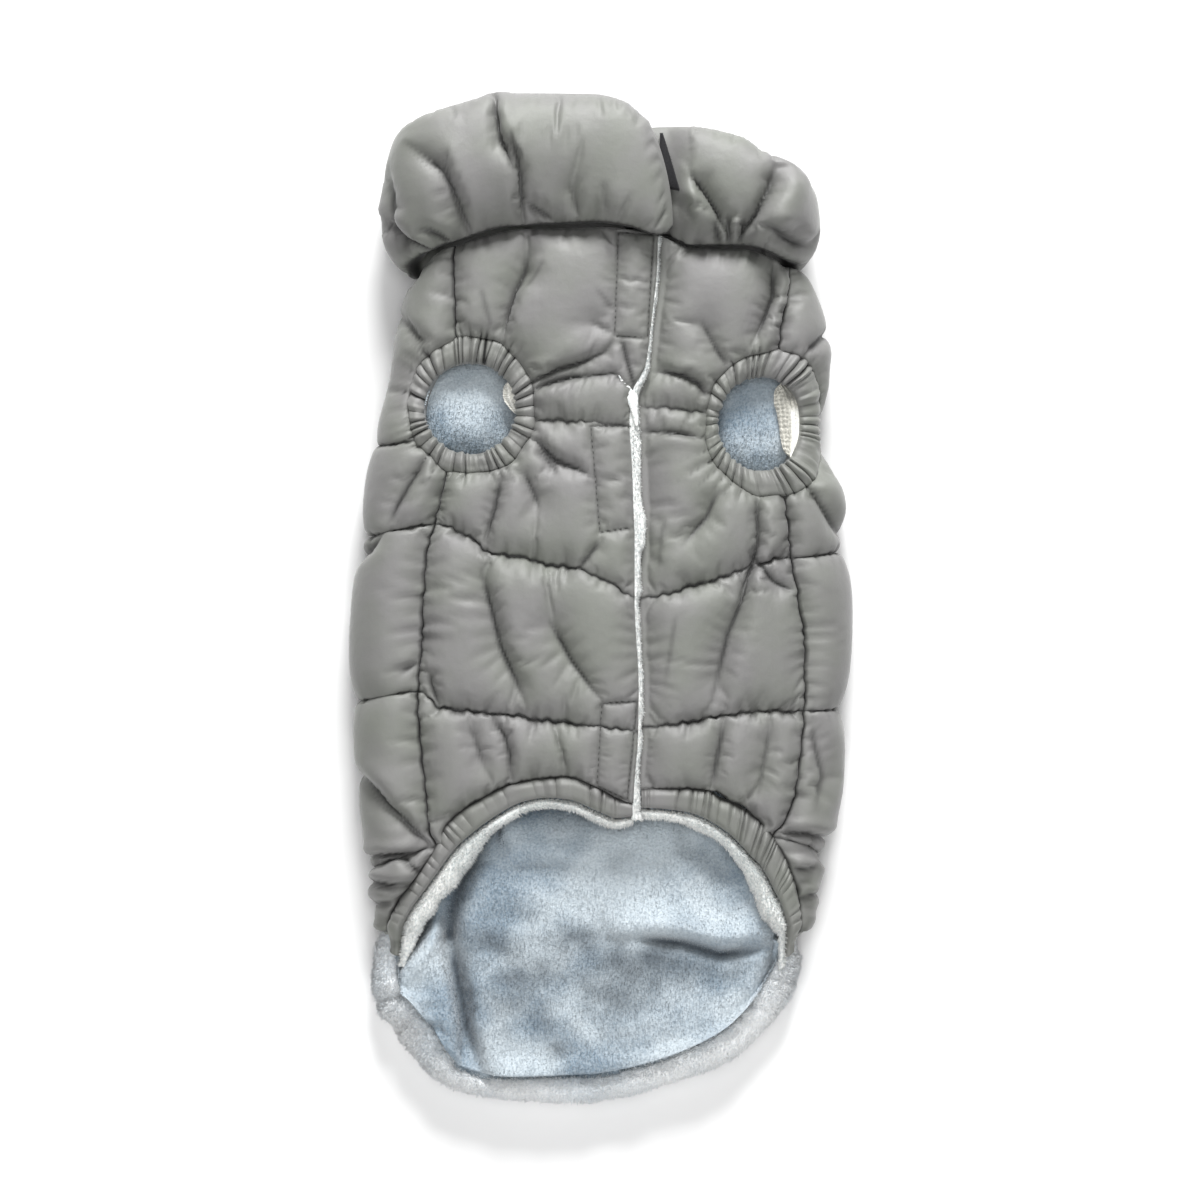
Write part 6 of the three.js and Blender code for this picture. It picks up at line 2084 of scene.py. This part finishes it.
@dataclass
class Collar:
    """Stuffed collar strip round the neck, whose left end laps over its right one.

    Attributes:
        finishes: The coat's materials.
        layer: Thickness of one layer where it lies flat.
        hollow: Height of the neck opening between the layers.
        left: Middle of the strip at its left turn.
        right: Middle of the strip at its right turn.
        dip: How far the lower edge dips to the neck seam.
    """

    finishes: Finishes
    layer: float = 24.0
    hollow: float = 8.0
    left: float = -93.0
    right: float = 95.0
    dip: float = 7.0

    def place(self, along: np.ndarray, up: np.ndarray, off: np.ndarray, extra: np.ndarray) -> np.ndarray:
        """Find points of the collar.

        The strip's middle runs round a flattened ring: level above, half round at the sides and level
        below. A point lies at a share of the strip's height, and off its middle by a share of half its
        thickness.

        Args:
            along: Distance round the collar from the front's middle.
            up: Share of the height, 0 at the neck seam.
            off: Share of half the thickness, 1 outside and -1 inside.
            extra: Height added outside.

        Returns:
            The points.
        """
        radius = (self.layer + self.hollow) / 2
        middle = (self.left + self.right) / 2
        flat = (self.right - self.left) / 2 - radius
        around = 4 * flat + 2 * np.pi * radius
        low, high, thick, lift, flare, slant = (
            COLLAR.curve("along", name)(along) for name in COLLAR.columns[1:]
        )
        past = along - slant * up * up - middle
        turned = np.where(past > around / 2, past - around, past)
        side, far = np.where(turned < 0, -1.0, 1.0), np.abs(turned)
        turn = np.clip((far - flat) / radius, 0, np.pi)
        below = np.maximum(far - flat - np.pi * radius, 0)
        out_x, out_z = side * np.sin(turn), np.cos(turn)
        x = middle + side * (np.minimum(far, flat) + radius * np.sin(turn) - below)
        z = self.layer / 2 + radius + radius * np.cos(turn)
        y = mix(low, high, up) - flare * off * (1 - up) ** 2
        sink = self.dip * (1 - smooth(up / 0.5)) * np.maximum(0, out_z) * smooth(lift / -4 + 1)
        rise = lift - sink + off * thick / 2 + extra
        x, z = x + out_x * rise, z + out_z * rise
        return np.stack(np.broadcast_arrays(x, y, np.maximum(z, 0.0)), axis=-1)

    def build(self) -> None:
        """Build the collar: a rounded section carried round the neck, stuffed and gathered at its seam."""
        first, last = COLLAR.rows[0][0], COLLAR.rows[-1][0]
        along = np.linspace(first, last, 370)[:, None]
        turn = np.linspace(0, 2 * np.pi, 108, endpoint=False)[None]
        cosine, sine = np.cos(turn), np.sin(turn)
        up = 0.5 - 0.5 * np.sign(cosine) * np.abs(cosine) ** 0.9
        off = np.sign(sine) * np.abs(sine) ** 0.85
        low = COLLAR.curve("along", "low")(along)
        high = COLLAR.curve("along", "high")(along)
        height = mix(low, high, up)
        from_seam = up * (high - low)
        outside = smooth((off - 0.1) / 0.3)
        ends = smooth((along - first) / 10) * smooth((last - along) / 10)
        folds, core = (outside * ends * part for part in creases(along, height, COLLAR_CREASES))
        gathers = pucker(along, from_seam, 0.9, 801, 6.0) * smooth((from_seam - 0.4) / 2) * outside * ends
        nips = pinches(along, from_seam, 811, 3.4) * outside * ends
        start = self.place(along, up, off, folds + gathers - 0.9 * nips)
        ring = np.concatenate([start[:, -1:], start, start[:, :1]], axis=1)
        centre = start.mean(axis=1, keepdims=True)
        outward = grid_normals(ring, ring - centre)[:, 1:-1]
        held = (off < 0.05) | (from_seam < 0.6) | (core > 0.5) | (ends < 0.25) | (start[..., 2] < 0.6)
        held |= (along < 44) & (up > 0.3)
        points = Settling(growth=0.07).settle(start, outward, grid_quads(*height.shape, True), held, 7.0)
        points[..., 2] = np.maximum(points[..., 2], 0.0)
        # Painted shade at the neck seam, in crease cores and in pinches.
        painted_shading_and_tone = np.clip(np.maximum.reduce([bump(from_seam, 1.0), 0.9 * core, 0.45 * nips * (off > 0)]), 0, 1)
        obj = sweep(points, False, painted_shading_and_tone).make("collar_strip", [self.finishes.shell], "collar")
        self.tape()

    def tape(self) -> None:
        """Build the hook tape whose slanting edge shows beside the lap, with its rows of hooks."""
        t = np.linspace(0, 1, 15)[:, None]
        up = np.linspace(0.42, 0.93, 20)[None]
        end = mix(39.5, 31.0, (up - 0.42) / 0.51)
        along = mix(29.6, end, t)
        top = self.place(along, up, np.ones_like(along), np.full(along.shape, 1.2))
        bottom = self.place(along, up, np.ones_like(along), np.full(along.shape, -0.4))
        obj = wall(top, bottom).make("collar_tape", [self.finishes.hooks, self.finishes.hooks], "hook_tape")
        roots = top.reshape(-1, 3)
        hooks = plush(roots, np.broadcast_to([0, 0, 1.0], roots.shape), 1.0, 0.16, 811)
        bristle = hooks.make("collar_tape_hooks", [self.finishes.hooks])


@dataclass
class Studio:
    """Pale floor, soft lights and a camera that looks straight down.

    Attributes:
        distance: Height of the camera above the floor.
        view_width: Width of the picture at the coat, in metres.
    """

    distance: float = 2.2
    view_width: float = 0.6

    def build(self) -> None:
        """Build the floor, the lights and the camera."""
        bpy.ops.mesh.primitive_plane_add(size=6.0, location=(0, 0, -0.0005))
        floor = bpy.context.object
        floor.name = "floor"
        board = NodeBoard("pale_floor")
        board.set(board.shader, "Base Color", (0.9, 0.9, 0.9, 1.0))
        board.set(board.shader, "Roughness", 0.9)
        floor.data.materials.append(board.material)
        world = bpy.data.worlds.new("studio")
        bpy.context.scene.world = world
        world.use_nodes = True
        world.node_tree.nodes["Background"].inputs["Color"].default_value = (1, 1, 1, 1)
        world.node_tree.nodes["Background"].inputs["Strength"].default_value = 0.22
        self.lamp("key", (0.2, 1.95, 1.12), 0.7, 77.0)
        self.lamp("tail", (0.05, -0.95, 0.8), 0.6, 6.5)
        self.lamp("top", (-0.2, 0.3, 2.4), 1.2, 16.0)
        camera = bpy.data.cameras.new("camera")
        camera.lens = camera.sensor_width * (self.distance - 0.02) / self.view_width
        camera.clip_end = 20
        holder = bpy.data.objects.new("camera", camera)
        holder.location = (0, 0, self.distance)
        bpy.context.collection.objects.link(holder)
        bpy.context.scene.camera = holder
        bpy.context.scene.view_settings.view_transform = "Standard"

    def lamp(self, name: str, place: tuple[float, float, float], size: float, power: float) -> None:
        """Hang a square lamp that points at the coat.

        Args:
            name: Name of the lamp.
            place: Where it hangs, in metres.
            size: Length of its side.
            power: Power in watts.
        """
        light = bpy.data.lights.new(name, "AREA")
        light.size = size
        light.energy = power
        holder = bpy.data.objects.new(name, light)
        holder.location = place
        away = -np.asarray(place, float)
        away /= np.linalg.norm(away)
        holder.rotation_euler = (math.acos(-away[2]), 0.0, math.atan2(away[0], -away[1]) + math.pi)
        bpy.context.collection.objects.link(holder)


def main() -> None:
    """Build the coat's pieces in order."""
    logging.basicConfig(level=logging.INFO, format="%(name)s: %(message)s")
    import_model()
    Studio().build()
    finishes = Finishes.build()
    BackPanel(finishes).build()
    BackLining(finishes).build()
    for side in Side:
        FrontPanel(side, finishes).build()
        LegCuff(side, finishes).build()
        HoleFacing(side, finishes).build()
        HemSide(side, finishes).build()
    PlacketFleece(finishes).build()
    TailRoll(finishes).build()
    Collar(finishes).build()


if __name__ == "__main__":
    main()
